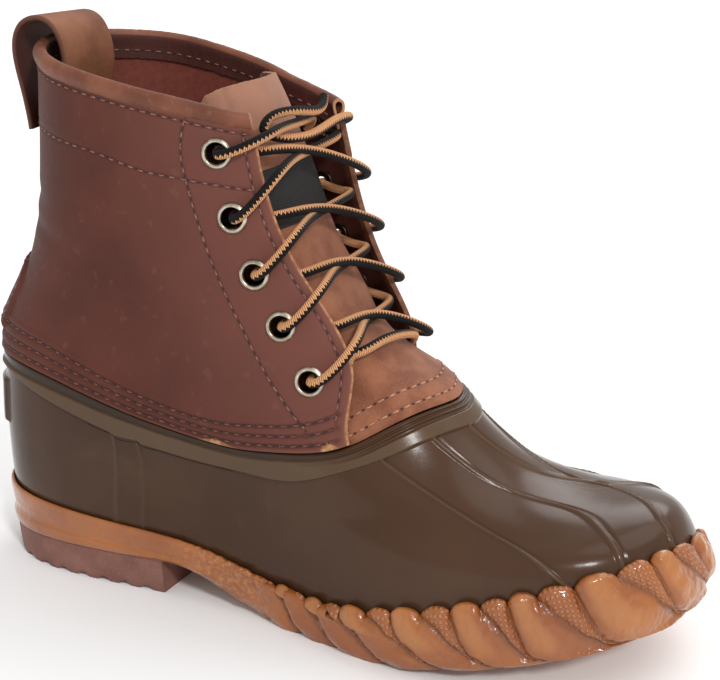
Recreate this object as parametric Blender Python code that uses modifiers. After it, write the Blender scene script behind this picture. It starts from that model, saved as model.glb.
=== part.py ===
"""Right boot with a laced leather shaft sewn to a moulded rubber bottom.

Every size below is in millimetres and becomes metres once, where a mesh or a curve is made.
The toe points to -Y, the heel to +Y, and the boot's outer side is at -X.  The floor is z = 0.
"""
import bmesh
import bpy
import numpy as np
from mathutils import Vector

METRE = 0.001
GAP = 0.3

# Sections of the last, from the feather edge at the sole up to the collar.
# Half widths are at the heel, a short run from the back, and at three shares of the section's length.
# name, back y, back z, front y, front z, how far it follows the sole, heel, waist, ball, toe
SECTIONS = (
    ("feather", 151, 23, -150, 30, 1.15, 33.0, 33.5, 49.5, 36.0),
    ("side", 152.5, 36, -152, 37, 1.0, 35.0, 36.0, 51.0, 37.0),
    ("toe face", 153.5, 50, -145, 53.4, 0.57, 35.0, 36.5, 48.5, 37.9),
    ("toe top", 154.5, 66, -129, 60.1, 0.85, 33.5, 36.0, 43.3, 30.3),
    ("vamp", 155, 84, -95, 62.5, 0.1, 31.0, 35.5, 40.9, 28.1),
    ("instep", 153.5, 104, -63.3, 84.9, 0.0, 29.5, 36.0, 38.0, 25.4),
    ("throat", 141, 127, -37, 116, 0.0, 29.5, 37.5, 37.5, 25.5),
    ("ankle", 132, 153, -15, 143, 0.0, 30.5, 40.0, 38.0, 25.0),
    ("shaft", 128, 185, -1, 171, 0.0, 31.5, 42.5, 39.5, 25.0),
    ("collar", 126, 219, 6, 200, 0.0, 32.0, 44.0, 41.0, 26.0),
)
HEEL_RUN = 10.0
HEEL_RUN_SHARE = 0.05
WIDTH_SHARES = (0.42, 0.70, 0.93)
# around, height in sections of the shaft's top edge, which dips at the throat
COLLAR_LINE = ((0.094, 8.82), (0.154, 8.87), (0.25, 8.90), (0.364, 8.94), (0.45, 8.96), (0.56, 9.02),
               (0.65, 9.06), (0.735, 9.03), (0.81, 8.96), (0.86, 8.85), (0.906, 8.69))
# Curve of the foot seen from above: y, x of the centre line
SWING = ((-153, 7.8), (-113, 2.8), (-63, -0.7), (27, -0.2), (97, 2.8), (147, 2.8))
# Height of the last's bottom: level at the ball, up to the heel seat behind it and up at the toe
HEEL_SEAT = 23.0
BALL_SEAT = 10.0
SEAT_WAIST_START = -18.0
SEAT_WAIST_LENGTH = 90.0
SEAT_TOE_START = -78.0
SEAT_TOE_LENGTH = 71.0
SEAT_TOE_SPRING = 14.0
# Evens out the spacing of the points around a section
CHORD_POWER = 0.6

# Rubber bottom.  Around the boot, 0 is the front centre line and 0.5 the back; both sides match.
# around, height of the rubber's sewn top edge in sections
RUBBER_EDGE = ((0.0, 5.25), (0.059, 5.21), (0.108, 4.96), (0.161, 4.52), (0.2165, 4.17),
               (0.274, 3.86), (0.3205, 3.95), (0.3685, 4.29), (0.415, 4.42), (0.5, 4.30))
RUBBER_COLUMNS = 54
RUBBER_BODY_SHARES = (0.35, 0.7, 1.0)
RUBBER_WALL = 3.2
BAND_HEIGHT = 8.0
BAND_SLOPE = 1.2
BAND_PROUD = 1.2
BAND_TOP_DROP = 0.5
# The lip stands inside the leather; it is lower and deeper across the front
LIP_START = 0.1
LIP_WALL = 2.0
LIP_HEIGHT_SIDE = 14.0
LIP_HEIGHT_FRONT = 6.0
LIP_DEPTH_SIDE = 2.2
LIP_DEPTH_FRONT = 4.6
LIP_FRONT_END = 0.16
LIP_FRONT_BLEND = 0.05

# Leather shaft.  Its columns are closer together at the flaps
SHAFT_COLUMNS = 39
SHAFT_SPREAD = 0.72 * np.pi / 2
SHAFT_LEVELS = (0.0, 0.05, 0.1, 0.17, 0.26, 0.42, 0.6, 0.8, 1.0)
LEATHER_OUT = 0.8
LEATHER_IN = 1.2
LEATHER_FOOT_GAP = 0.9
# height in the flap, 0 at its foot and 1 at the collar, and its front edge around the boot
FLAP_EDGE = ((0.0, 0.140), (0.05, 0.131), (0.1, 0.117), (0.17, 0.098), (0.23, 0.091),
             (0.5, 0.091), (0.8, 0.095), (1.0, 0.094))
# The open flaps stand away from the last in front of this place around
FLARE_START = 0.175
FLARE_RUN = 0.085
FLARE_OUTER_SIDE = 3.0
FLARE_INNER_SIDE = 9.0
# section height, share of the flare
FLARE_RISE = ((5.6, 0.0), (6.4, 0.25), (7.2, 0.75), (8.0, 1.0), (9.0, 0.8))

# Vamp and tongue, one piece of leather.  Rows go from the rubber edge to the tongue's top:
# height, distance set back from the last, shares of the last's width and of its curve kept
TONGUE_ROWS = ((0.0, 0.0, 1.0, 1.0), (0.045, 1.5, 1.0, 1.0), (0.09, 6.2, 0.97, 0.98), (0.14, 11.2, 0.95, 0.92),
               (0.2, 14.8, 0.94, 0.70), (0.3, 15.2, 0.95, 0.40), (0.45, 14.6, 0.94, 0.32),
               (0.6, 14.4, 0.93, 0.34), (0.75, 15.2, 0.88, 0.42), (0.9, 17.5, 0.78, 0.5), (1.0, 20.0, 0.70, 0.52))
TONGUE_SIDE_DROP = 0.05
TONGUE_COLUMNS = 11
TONGUE_WALL = 1.8
TONGUE_TOP = 9.6
TONGUE_HALF = 0.15
TONGUE_FOOT_GAP = 0.8
TONGUE_BACKWARD = (0.0, 0.95, -0.30)
# The vamp's face at the front, and how far its sides tuck under the flaps
TONGUE_FACE = 0.6
TONGUE_TUCK = 2.7
TONGUE_TUCK_START = 0.07
TONGUE_TUCK_RUN = 0.03

# Sole.  around, top of the gum rim in sections
RIM_TOP = ((0.0, 1.65), (0.059, 1.84), (0.12, 1.62), (0.181, 1.18), (0.2215, 0.70), (0.2515, 0.23),
           (0.2815, 0.28), (0.3115, 0.64), (0.352, 0.67), (0.4275, 0.72), (0.5, 0.80))
RIM_SHARES = (0.0, 0.5, 1.0)
RIM_GAP = 0.5
# How far the sole stands out of the last: at the rim's top, its middle, its foot, the side, the tread
RIM_TOP_OUT = 2.0
RIM_MIDDLE = 0.6
RIM_MIDDLE_OUT = 3.6
RIM_FOOT_OUT = 4.4
SOLE_SIDE = 0.4
SOLE_SIDE_OUT = 4.2
TREAD_OUT = 1.8
# Rope lobes round the forefoot; each leans by a share of a lobe from the tread up to the rim's top
ROPE_END = 0.256
ROPE_LOBES = 14
STEPS_PER_LOBE = 4
ROPE_PROUD = 1.6
ROPE_VALLEY = 0.7
ROPE_LEAN_FOOT = 0.15
ROPE_LEAN_MIDDLE = 0.3
ROPE_LEAN_TOP = 0.4
TREAD_GROOVE = 2.0
HEEL_RIM_STEPS = 36
HEEL_RIM_PROUD = 0.6
TOE_TREAD_START = -40.0
TOE_TREAD_LENGTH = 113.0
TOE_TREAD_LIFT = 24.0
TOE_TREAD_POWER = 1.3
WAIST_START = 0.0
HEEL_BREAST = 58.0

# Heel lift and insole
HEEL_LIFT = 15.0
HEEL_LIFT_STEPS = 26
HEEL_LIFT_START = 60.0
HEEL_LIFT_TOP_OUT = 1.6
HEEL_LIFT_FOOT_OUT = 0.4
HEEL_RIBS = 9
HEEL_GROOVE_START = 59.0
HEEL_GROOVE_RADIUS = 3.6
HEEL_GROOVE_DEPTH = 1.6
HEEL_GROOVE_LENGTH = 120.0
HEEL_GROOVE_SIDES = 12
INSOLE_THICK = 4.0
INSOLE_GAP = 0.8
INSOLE_STEPS = 48

# Collar binding and pull loop
BINDING_RADIUS = 2.6
BINDING_GAP = 0.6
BINDING_POINTS = 41
BINDING_END = 0.096
LOOP_WIDTH = 36.0
LOOP_THICK = 2.2
LOOP_CENTRE_X = 2.8
LOOP_STEPS = 17
LOOP_COLUMNS = 5
# Path of the strap behind the collar: y, z, and how far its edges wrap round the shaft
LOOP_PATH = ((131.0, 187.0, 1.0), (131.6, 193.0, 0.95), (133.6, 203.0, 0.8), (135.6, 218.0, 0.5),
             (132.5, 228.0, 0.3), (124.5, 232.0, 0.2), (116.0, 229.0, 0.3), (112.0, 218.0, 0.5),
             (113.5, 206.0, 0.8), (117.5, 194.0, 1.0), (120.5, 184.0, 1.0))
LOOP_WRAP = 2.6

# Eyelets and lace.  Height of each pair in sections, from the top down
EYELET_ROWS = (8.48, 7.67, 6.92, 6.21, 5.52)
EYELET_AROUND = 0.141
EYELET_SIDES = 12
EYELET_FLANGE = 6.0
EYELET_CROWN = 4.4
EYELET_BORE = 3.2
EYELET_BARREL = 3.9
EYELET_HOLE = 4.3
EYELET_CUT_LENGTH = 12.0
EYELET_THICK = 1.0
EYELET_ROUND = 0.3
EYELET_STAND = 0.7
LACE_RADIUS = 2.0
LACE_POINTS = 8
LACE_OVER_EYELET = EYELET_STAND + EYELET_THICK + LACE_RADIUS + GAP
LACE_OVER_EDGE = LACE_RADIUS + 1.5
LACE_UNDER_FLAP = -LEATHER_OUT - LEATHER_IN - LACE_RADIUS - 1.0
# A strand starts and ends a little in front of its eyelets and bends at the edges of both flaps
LACE_START = EYELET_AROUND - 0.010
LACE_END = EYELET_AROUND - 0.030
LACE_NEAR_EDGE = 0.088
LACE_FAR_EDGE = 0.090
THROAT_EDGE = 0.092
LACE_MIDDLE = 0.5
LACE_MIDDLE_LIFT = 0.4
# share of the way from the lower eyelet to the upper one at the start, over the first flap's edge, in
# the middle of the throat, under the other flap's edge and at the end, from the outer and inner sides
LACE_CLIMB = {1: (0.05, 0.64, 0.86, 0.97, 0.96), -1: (0.03, 0.20, 0.86, 1.08, 1.04)}
# The bar under the lowest pair: place across the throat, height above the pair, lift
LACE_BAR = ((0.12, 0.34, 0.8), (0.33, 0.32, 5.7), (0.67, 0.22, 6.3), (0.88, 0.15, 0.6))
LACE_BAR_EDGES = (0.36, 0.15)
LACE_BAR_ENDS = (0.12, 0.14)
OUTER_END_POINTS = 18
INNER_END_POINTS = 26
# The two tied ends, from the top eyelets through one half knot to the tips.
# Places across the throat, heights and lifts
OUTER_END = ((0.03, 8.74, 3.2), (0.2, 8.78, 2.8), (0.4, 8.78, 1.4), (0.58, 8.775, -0.9),
             (0.71, 8.75, -3.6), (0.78, 8.68, -7.0), (0.80, 8.58, -10.5))
INNER_END = ((0.97, 8.68, 3.2), (0.84, 8.69, 3.4), (0.66, 8.63, 2.9), (0.5, 8.585, 2.2),
             (0.34, 8.60, 0.6), (0.22, 8.67, -2.2), (0.16, 8.78, -3.4), (0.20, 8.89, -2.4),
             (0.31, 8.95, 0.8), (0.44, 8.92, 3.8), (0.57, 8.885, 4.8), (0.68, 8.935, 3.8), (0.75, 9.03, 2.2))
LACE_END_START = 0.121
LACE_END_START_HEIGHTS = (8.55, 8.52)

# Finishes: colour, roughness, metallic
LEATHER = ((0.130, 0.048, 0.036, 1.0), 0.55, 0.0)
TAN_LEATHER = ((0.190, 0.085, 0.050, 1.0), 0.60, 0.0)
RUBBER = ((0.085, 0.058, 0.038, 1.0), 0.40, 0.0)
GUM = ((0.400, 0.140, 0.052, 1.0), 0.35, 0.0)
HEEL_GUM = ((0.220, 0.100, 0.080, 1.0), 0.55, 0.0)
FELT = ((0.230, 0.170, 0.120, 1.0), 0.90, 0.0)
EYELET_METAL = ((0.560, 0.530, 0.460, 1.0), 0.30, 1.0)
LACE_CORD = ((0.140, 0.085, 0.045, 1.0), 0.75, 0.0)


def spline(knots, values, at, period=None):
    """Read a smooth cubic through the values; a period closes it into a loop."""
    knots = np.asarray(knots, float)
    values = np.asarray(values, float)
    count = len(knots)
    system = np.eye(count)
    right = np.zeros_like(values)
    if period:
        steps = np.append(np.diff(knots), knots[0] + period - knots[-1])
        for i in range(count):
            after = (i + 1) % count
            system[i, i] = 2 * (steps[i - 1] + steps[i])
            system[i, i - 1] = steps[i - 1]
            system[i, after] = steps[i]
            right[i] = (values[after] - values[i]) / steps[i] - (values[i] - values[i - 1]) / steps[i - 1]
    else:
        steps = np.diff(knots)
        for i in range(1, count - 1):
            system[i, i - 1:i + 2] = steps[i - 1], 2 * (steps[i - 1] + steps[i]), steps[i]
            right[i] = (values[i + 1] - values[i]) / steps[i] - (values[i] - values[i - 1]) / steps[i - 1]
    bend = np.linalg.solve(system, 6 * right)
    at = np.asarray(at, float)
    if period:
        at = (at - knots[0]) % period + knots[0]
        knots = np.append(knots, knots[0] + period)
        values = np.concatenate([values, values[:1]])
        bend = np.concatenate([bend, bend[:1]])
    i = np.clip(np.searchsorted(knots, at, side="right") - 1, 0, len(knots) - 2)
    axes = (1,) * (values.ndim - 1)
    step = (knots[i + 1] - knots[i]).reshape(i.shape + axes)
    t = (at - knots[i]).reshape(i.shape + axes)
    slope = (values[i + 1] - values[i]) / step - step * (2 * bend[i] + bend[i + 1]) / 6
    return values[i] + t * (slope + t * (bend[i] / 2 + t * (bend[i + 1] - bend[i]) / (6 * step)))


def smooth(t):
    t = np.clip(t, 0.0, 1.0)
    return t * t * (3 - 2 * t)


def seat(y):
    """Height of the last's bottom: heel seat, waist, ball and toe spring."""
    waist = smooth((y - SEAT_WAIST_START) / SEAT_WAIST_LENGTH)
    toe = np.clip((SEAT_TOE_START - y) / SEAT_TOE_LENGTH, 0, None)
    return BALL_SEAT + (HEEL_SEAT - BALL_SEAT) * waist + SEAT_TOE_SPRING * toe ** 2


def centre_x(y):
    return spline(*zip(*SWING), y)


def section_points(row):
    """Ten points of one section: front, four down the outer side, back, four up the inner side."""
    _, back_y, back_z, front_y, front_z, follow, *half_widths = row
    stations = (HEEL_RUN_SHARE + HEEL_RUN / (back_y - front_y), *WIDTH_SHARES)
    half = dict(zip(stations, half_widths))
    outer_side = [(w, -1) for w in reversed(stations)]
    inner_side = [(w, 1) for w in stations]
    points = []
    for w, side in [(1.0, 0)] + outer_side + [(0.0, 0)] + inner_side:
        y = back_y + (front_y - back_y) * w
        chord = seat(back_y) + (seat(front_y) - seat(back_y)) * w
        z = back_z + (front_z - back_z) * w + follow * (seat(y) - chord)
        points.append((centre_x(y) + side * half.get(w, 0), y, z))
    return points


CAGE = np.array([section_points(row) for row in SECTIONS])
CHORDS = np.linalg.norm(np.roll(CAGE, -1, axis=1) - CAGE, axis=2) ** CHORD_POWER
CHORD_SHARE = (CHORDS / CHORDS.sum(axis=1, keepdims=True)).mean(axis=0)
AROUND = np.concatenate([[0], np.cumsum(CHORD_SHARE)[:-1]])


def last_point(around, height):
    """Points on the last; around runs 0..1 from the front, height counts sections."""
    around, height = np.broadcast_arrays(np.asarray(around, float), np.asarray(height, float))
    flat_around = around.ravel()
    flat_height = height.ravel()
    loops = np.stack([spline(AROUND, loop, flat_around, period=1.0) for loop in CAGE])
    count = len(CAGE)
    system = np.eye(count)
    right = np.zeros_like(loops)
    for i in range(1, count - 1):
        system[i, i - 1:i + 2] = 1, 4, 1
        right[i] = 6 * (loops[i + 1] - 2 * loops[i] + loops[i - 1])
    bend = np.linalg.solve(system, right.reshape(count, -1)).reshape(right.shape)
    i = np.clip(flat_height.astype(int), 0, count - 2)
    t = (flat_height - i)[:, None]
    j = np.arange(len(i))
    slope = loops[i + 1, j] - loops[i, j] - (2 * bend[i, j] + bend[i + 1, j]) / 6
    point = loops[i, j] + t * (slope + t * (bend[i, j] / 2 + t * (bend[i + 1, j] - bend[i, j]) / 6))
    return point.reshape(around.shape + (3,))


def unit(vectors):
    return vectors / np.linalg.norm(vectors, axis=-1, keepdims=True)


def last_normal(around, height):
    step = 0.004
    along = last_point(around + step, height) - last_point(around - step, height)
    up = last_point(around, np.asarray(height) + step) - last_point(around, np.asarray(height) - step)
    return unit(np.cross(up, along))


def off_last(around, height, out):
    """Points a given distance outside the last."""
    out = np.asarray(out, float)[..., None]
    return last_point(around, height) + out * last_normal(around, height)


def rise(around, height, distance):
    """Height in sections that lies a distance in millimetres further up the last."""
    step = 0.05
    run = last_point(around, height + step) - last_point(around, height - step)
    return height + distance * 2 * step / np.linalg.norm(run, axis=-1)


def from_front(around):
    """Distance around from the front centre line, the same on both sides."""
    return np.abs((np.asarray(around) + 0.5) % 1.0 - 0.5)


def rubber_edge(around):
    return spline(*zip(*RUBBER_EDGE), from_front(around))


def rim_top(around):
    return spline(*zip(*RIM_TOP), from_front(around))


def flare(around, height):
    """How far the open flaps stand away from the last."""
    wide = smooth((FLARE_START - from_front(around)) / FLARE_RUN)
    inner_side = (np.asarray(around) % 1.0) > 0.5
    amount = np.where(inner_side, FLARE_INNER_SIDE, FLARE_OUTER_SIDE)
    high = np.clip(height, FLARE_RISE[0][0], FLARE_RISE[-1][0])
    return amount * wide * np.clip(spline(*zip(*FLARE_RISE), high), 0, 1)


def collar(around):
    return spline(*zip(*COLLAR_LINE), around)


def leather(around, height, out=0.0):
    return off_last(around, height, flare(around, height) + out)


def material_for(name, finish):
    colour, roughness, metallic = finish
    material = bpy.data.materials.new(name)
    material.use_nodes = True
    shader = material.node_tree.nodes["Principled BSDF"]
    shader.inputs["Base Color"].default_value = colour
    shader.inputs["Roughness"].default_value = roughness
    shader.inputs["Metallic"].default_value = metallic
    return material


def add_part(name, data, finish):
    obj = bpy.data.objects.new(name, data)
    obj.data.materials.append(material_for(name, finish))
    obj.parent = boot
    pieces.objects.link(obj)
    return obj


def closed_mesh(name, points, faces):
    mesh = bpy.data.meshes.new(name)
    mesh.from_pydata(np.asarray(points).reshape(-1, 3) * METRE, [], faces)
    body = bmesh.new()
    body.from_mesh(mesh)
    bmesh.ops.recalc_face_normals(body, faces=body.faces)
    body.to_mesh(mesh)
    body.free()
    mesh.shade_smooth()
    mesh.set_sharp_from_angle(angle=0.7)
    return mesh


def wall(outer, inner, loop):
    """Points and faces of a wall between two grids of rows and columns; a loop joins its sides."""
    rows, columns = outer.shape[:2]
    start = rows * columns
    faces = []
    for c in range(columns if loop else columns - 1):
        after = (c + 1) % columns
        for r in range(rows - 1):
            quad = (r * columns + c, r * columns + after, (r + 1) * columns + after, (r + 1) * columns + c)
            faces.append(quad)
            faces.append(tuple(start + corner for corner in reversed(quad)))
        for r in (0, rows - 1):
            near, far = r * columns + c, r * columns + after
            faces.append((near, far, start + far, start + near))
    if not loop:
        for r in range(rows - 1):
            for c in (0, columns - 1):
                low, high = r * columns + c, (r + 1) * columns + c
                faces.append((low, high, start + high, start + low))
    return np.concatenate([outer.reshape(-1, 3), inner.reshape(-1, 3)]), faces


def slab(loops):
    """Points and faces of a stack of outlines, closed across its first and last one."""
    count = len(loops[0])
    faces = []
    for k in range(len(loops) - 1):
        for i in range(count):
            after = (i + 1) % count
            faces.append((k * count + i, k * count + after, (k + 1) * count + after, (k + 1) * count + i))
    for first in (0, (len(loops) - 1) * count):
        for i in range(count // 2 - 1):
            faces.append((first + i, first + i + 1, first + count - 2 - i, first + count - 1 - i))
    return np.concatenate(loops), faces


def tube(name, route, radius, sides_setting, points):
    """A round tube along a smooth curve through the route."""
    route = np.asarray(route, float)
    lengths = np.concatenate([[0], np.cumsum(np.linalg.norm(np.diff(route, axis=0), axis=1))])
    path = spline(lengths, route, np.linspace(0, lengths[-1], points)) * METRE
    curve = bpy.data.curves.new(name, "CURVE")
    curve.dimensions = "3D"
    curve.bevel_depth = radius * METRE
    curve.bevel_resolution = sides_setting
    curve.use_fill_caps = True
    line = curve.splines.new("POLY")
    line.points.add(points - 1)
    for point, place in zip(line.points, path):
        point.co = (*place, 1.0)
    return curve


def curve_to_mesh(name, curve):
    """Mesh of a curve with its end caps welded on, so that it can be cut and joined."""
    holder = bpy.data.objects.new(name, curve)
    pieces.objects.link(holder)
    bpy.context.view_layer.update()
    evaluated = holder.evaluated_get(bpy.context.evaluated_depsgraph_get())
    mesh = bpy.data.meshes.new_from_object(evaluated)
    bpy.data.objects.remove(holder)
    body = bmesh.new()
    body.from_mesh(mesh)
    bmesh.ops.remove_doubles(body, verts=body.verts, dist=0.00001)
    bmesh.ops.recalc_face_normals(body, faces=body.faces)
    body.to_mesh(mesh)
    body.free()
    mesh.shade_smooth()
    return mesh


def add_cutter(name, mesh):
    obj = bpy.data.objects.new(name, mesh)
    obj.hide_render = True
    obj.display_type = "WIRE"
    obj.parent = boot
    cutters.objects.link(obj)
    return obj


def add_boolean(obj, other, operation):
    modifier = obj.modifiers.new(operation.title(), "BOOLEAN")
    modifier.operation = operation
    modifier.solver = "EXACT"
    modifier.object = other


# Rubber bottom: a moulded bootee with a raised band at its top and a thin lip inside the leather
def build_rubber():
    around = np.arange(RUBBER_COLUMNS) / RUBBER_COLUMNS
    edge = rubber_edge(around)
    band = rise(around, edge, -BAND_HEIGHT)
    front = 1 - smooth((from_front(around) - LIP_FRONT_END) / LIP_FRONT_BLEND)
    lip = LIP_DEPTH_SIDE + (LIP_DEPTH_FRONT - LIP_DEPTH_SIDE) * front
    lip_height = LIP_HEIGHT_SIDE + (LIP_HEIGHT_FRONT - LIP_HEIGHT_SIDE) * front
    lip_inside = lip + LIP_WALL
    rim = rim_top(around)
    flush = np.zeros(RUBBER_COLUMNS)
    proud = np.full(RUBBER_COLUMNS, BAND_PROUD)
    inside = np.full(RUBBER_COLUMNS, RUBBER_WALL)
    # height, distance of the outer face outside the last, depth of the inner face inside it
    rows = [(rim * share, flush, inside) for share in RIM_SHARES]
    rows += [(rim + (band - rim) * share, flush, inside) for share in RUBBER_BODY_SHARES]
    rows += [(rise(around, band, BAND_SLOPE), proud, inside),
             (rise(around, edge, -BAND_TOP_DROP), proud, np.maximum(inside, lip_inside)),
             (rise(around, edge, LIP_START), -lip, lip_inside),
             (rise(around, edge, lip_height), -lip, lip_inside)]
    outer = np.stack([off_last(around, height, out) for height, out, _ in rows])
    inner = np.stack([off_last(around, height, -depth) for height, _, depth in rows])
    add_part("rubber_bottom", closed_mesh("rubber_bottom", *wall(outer, inner, True)), RUBBER)


# Leather shaft: both quarters and the counter as one hollow wall, open at the throat
def build_shaft():
    angles = np.linspace(-SHAFT_SPREAD, SHAFT_SPREAD, SHAFT_COLUMNS)
    spread = 0.5 + 0.5 * np.sin(angles) / np.sin(SHAFT_SPREAD)
    front = spline(*zip(*FLAP_EDGE), SHAFT_LEVELS)[:, None]
    around = front + (1 - 2 * front) * spread
    foot = rise(around, rubber_edge(around), LEATHER_FOOT_GAP)
    height = foot + (collar(around) - foot) * np.array(SHAFT_LEVELS)[:, None]
    outer = leather(around, height, LEATHER_OUT)
    inner = leather(around, height, -LEATHER_IN)
    shaft = add_part("leather_shaft", closed_mesh("leather_shaft", *wall(outer, inner, False)), LEATHER)
    add_boolean(shaft, eyelet_hole_cutter(), "DIFFERENCE")


def eyelet_places():
    """Name, place on the leather's face and outward direction of each eyelet."""
    for side, sign in (("outer", 1), ("inner", -1)):
        for row, height in enumerate(EYELET_ROWS, start=1):
            around = (sign * EYELET_AROUND) % 1.0
            place = leather(around, height, LEATHER_OUT)
            step = 0.01
            along = leather(around + step, height) - leather(around - step, height)
            up = leather(around, height + step) - leather(around, height - step)
            yield f"eyelet_{side}_{row}", Vector(place), Vector(unit(np.cross(up, along)))


def eyelet_hole_cutter():
    body = bmesh.new()
    for _, place, outward in eyelet_places():
        turn = outward.to_track_quat("Z", "Y").to_matrix().to_4x4()
        turn.translation = place * METRE
        bmesh.ops.create_cone(body, cap_ends=True, segments=EYELET_SIDES, radius1=EYELET_HOLE * METRE,
                              radius2=EYELET_HOLE * METRE, depth=EYELET_CUT_LENGTH * METRE, matrix=turn)
    mesh = bpy.data.meshes.new("eyelet_holes")
    body.to_mesh(mesh)
    body.free()
    return add_cutter("eyelet_holes", mesh)


# Eyelets: a turned metal ring with a flange on the leather and a barrel through it
def build_eyelets():
    base = EYELET_STAND
    top = EYELET_STAND + EYELET_THICK
    bottom = -LEATHER_OUT - LEATHER_IN
    profile = ((EYELET_BORE, top - EYELET_ROUND), (EYELET_CROWN, top), (EYELET_FLANGE, base + EYELET_ROUND),
               (EYELET_BARREL, base), (EYELET_BARREL, bottom), (EYELET_BORE, bottom))
    for name, place, outward in eyelet_places():
        ring = bmesh.new()
        corners = [ring.verts.new((r * METRE, 0, z * METRE)) for r, z in profile]
        for i in range(len(corners)):
            ring.edges.new((corners[i - 1], corners[i]))
        mesh = bpy.data.meshes.new(name)
        ring.to_mesh(mesh)
        ring.free()
        eyelet = add_part(name, mesh, EYELET_METAL)
        screw = eyelet.modifiers.new("Turn", "SCREW")
        screw.steps = EYELET_SIDES
        screw.render_steps = EYELET_SIDES
        screw.use_merge_vertices = True
        screw.merge_threshold = 0.00001
        screw.use_normal_calculate = True
        screw.use_smooth_shade = True
        eyelet.rotation_mode = "QUATERNION"
        eyelet.rotation_quaternion = outward.to_track_quat("Z", "Y")
        eyelet.location = place * METRE


# Vamp and tongue: one thin piece from the rubber's front edge up between the flaps
def tongue_grid(out):
    """Grid of the tongue's face; its sides tuck under the flaps and its top leans back."""
    around = np.linspace(-TONGUE_HALF, TONGUE_HALF, TONGUE_COLUMNS)
    foot = rise(around, rubber_edge(around), TONGUE_FOOT_GAP)
    face = TONGUE_FACE - TONGUE_TUCK * smooth((np.abs(around) - TONGUE_TUCK_START) / TONGUE_TUCK_RUN)
    rows = []
    for level, back, width, curve in TONGUE_ROWS:
        level = level * (1 - TONGUE_SIDE_DROP * (around / TONGUE_HALF) ** 2)
        row = off_last(around, foot + (TONGUE_TOP - foot) * level, face + out)
        middle = row[TONGUE_COLUMNS // 2]
        row = middle + (row - middle) * np.array((width, curve, curve))
        rows.append(row + back * np.array(TONGUE_BACKWARD))
    return np.stack(rows)


def build_tongue():
    outer = tongue_grid(0.0)
    inner = tongue_grid(-TONGUE_WALL)
    add_part("tongue", closed_mesh("tongue", *wall(outer, inner, False)), TAN_LEATHER)


def tread(y):
    """Underside of the sole: flat forefoot, toe spring, waist rising to the heel."""
    toe = np.clip((TOE_TREAD_START - y) / TOE_TREAD_LENGTH, 0, None)
    waist = smooth((y - WAIST_START) / (HEEL_BREAST - WAIST_START))
    return TOE_TREAD_LIFT * toe ** TOE_TREAD_POWER + HEEL_LIFT * waist


def outline(around, out):
    """The feather edge moved sideways by a distance, at its own height."""
    flat = last_normal(around, np.zeros_like(around))
    flat[:, 2] = 0
    return last_point(around, 0.0) + np.asarray(out, float)[..., None] * unit(flat)


# Outsole: a gum tray whose rim wraps up the rubber, with rope lobes round the forefoot
def build_outsole():
    rope_steps = ROPE_LOBES * STEPS_PER_LOBE
    rope = ROPE_END * (np.arange(rope_steps) + 0.5) / rope_steps
    heel = ROPE_END + (1 - 2 * ROPE_END) * (np.arange(HEEL_RIM_STEPS) + 0.5) / HEEL_RIM_STEPS
    around = np.concatenate([rope, heel, 1 - rope[::-1]])
    on_rope = from_front(around) < ROPE_END
    phase = from_front(around) * ROPE_LOBES / ROPE_END

    def lobe(lean):
        return np.where(on_rope, ROPE_PROUD * np.abs(np.sin(np.pi * (phase + lean))), HEEL_RIM_PROUD)

    top = rim_top(around)
    seat_loop = outline(around, np.full(len(around), GAP))
    seat_loop[:, 2] -= GAP
    inside_loops = [off_last(around, share * top, RIM_GAP) for share in RIM_SHARES[1:]]
    top_loop = off_last(around, top, RIM_TOP_OUT + 0.5 * lobe(ROPE_LEAN_TOP))
    middle_loop = off_last(around, RIM_MIDDLE * top, RIM_MIDDLE_OUT + lobe(ROPE_LEAN_MIDDLE))
    foot_loop = outline(around, RIM_FOOT_OUT + lobe(ROPE_LEAN_FOOT))
    side_loop = outline(around, SOLE_SIDE_OUT + lobe(0.0))
    tread_loop = outline(around, TREAD_OUT + lobe(0.0))
    groove = np.where(on_rope & (lobe(0.0) < ROPE_VALLEY), TREAD_GROOVE, 0.0)
    tread_loop[:, 2] = tread(tread_loop[:, 1]) + groove
    side_loop[:, 2] = SOLE_SIDE * side_loop[:, 2] + (1 - SOLE_SIDE) * tread_loop[:, 2]
    loops = [seat_loop, *inside_loops, top_loop, middle_loop, foot_loop, side_loop, tread_loop]
    add_part("outsole", closed_mesh("outsole", *slab(loops)), GUM)


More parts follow.
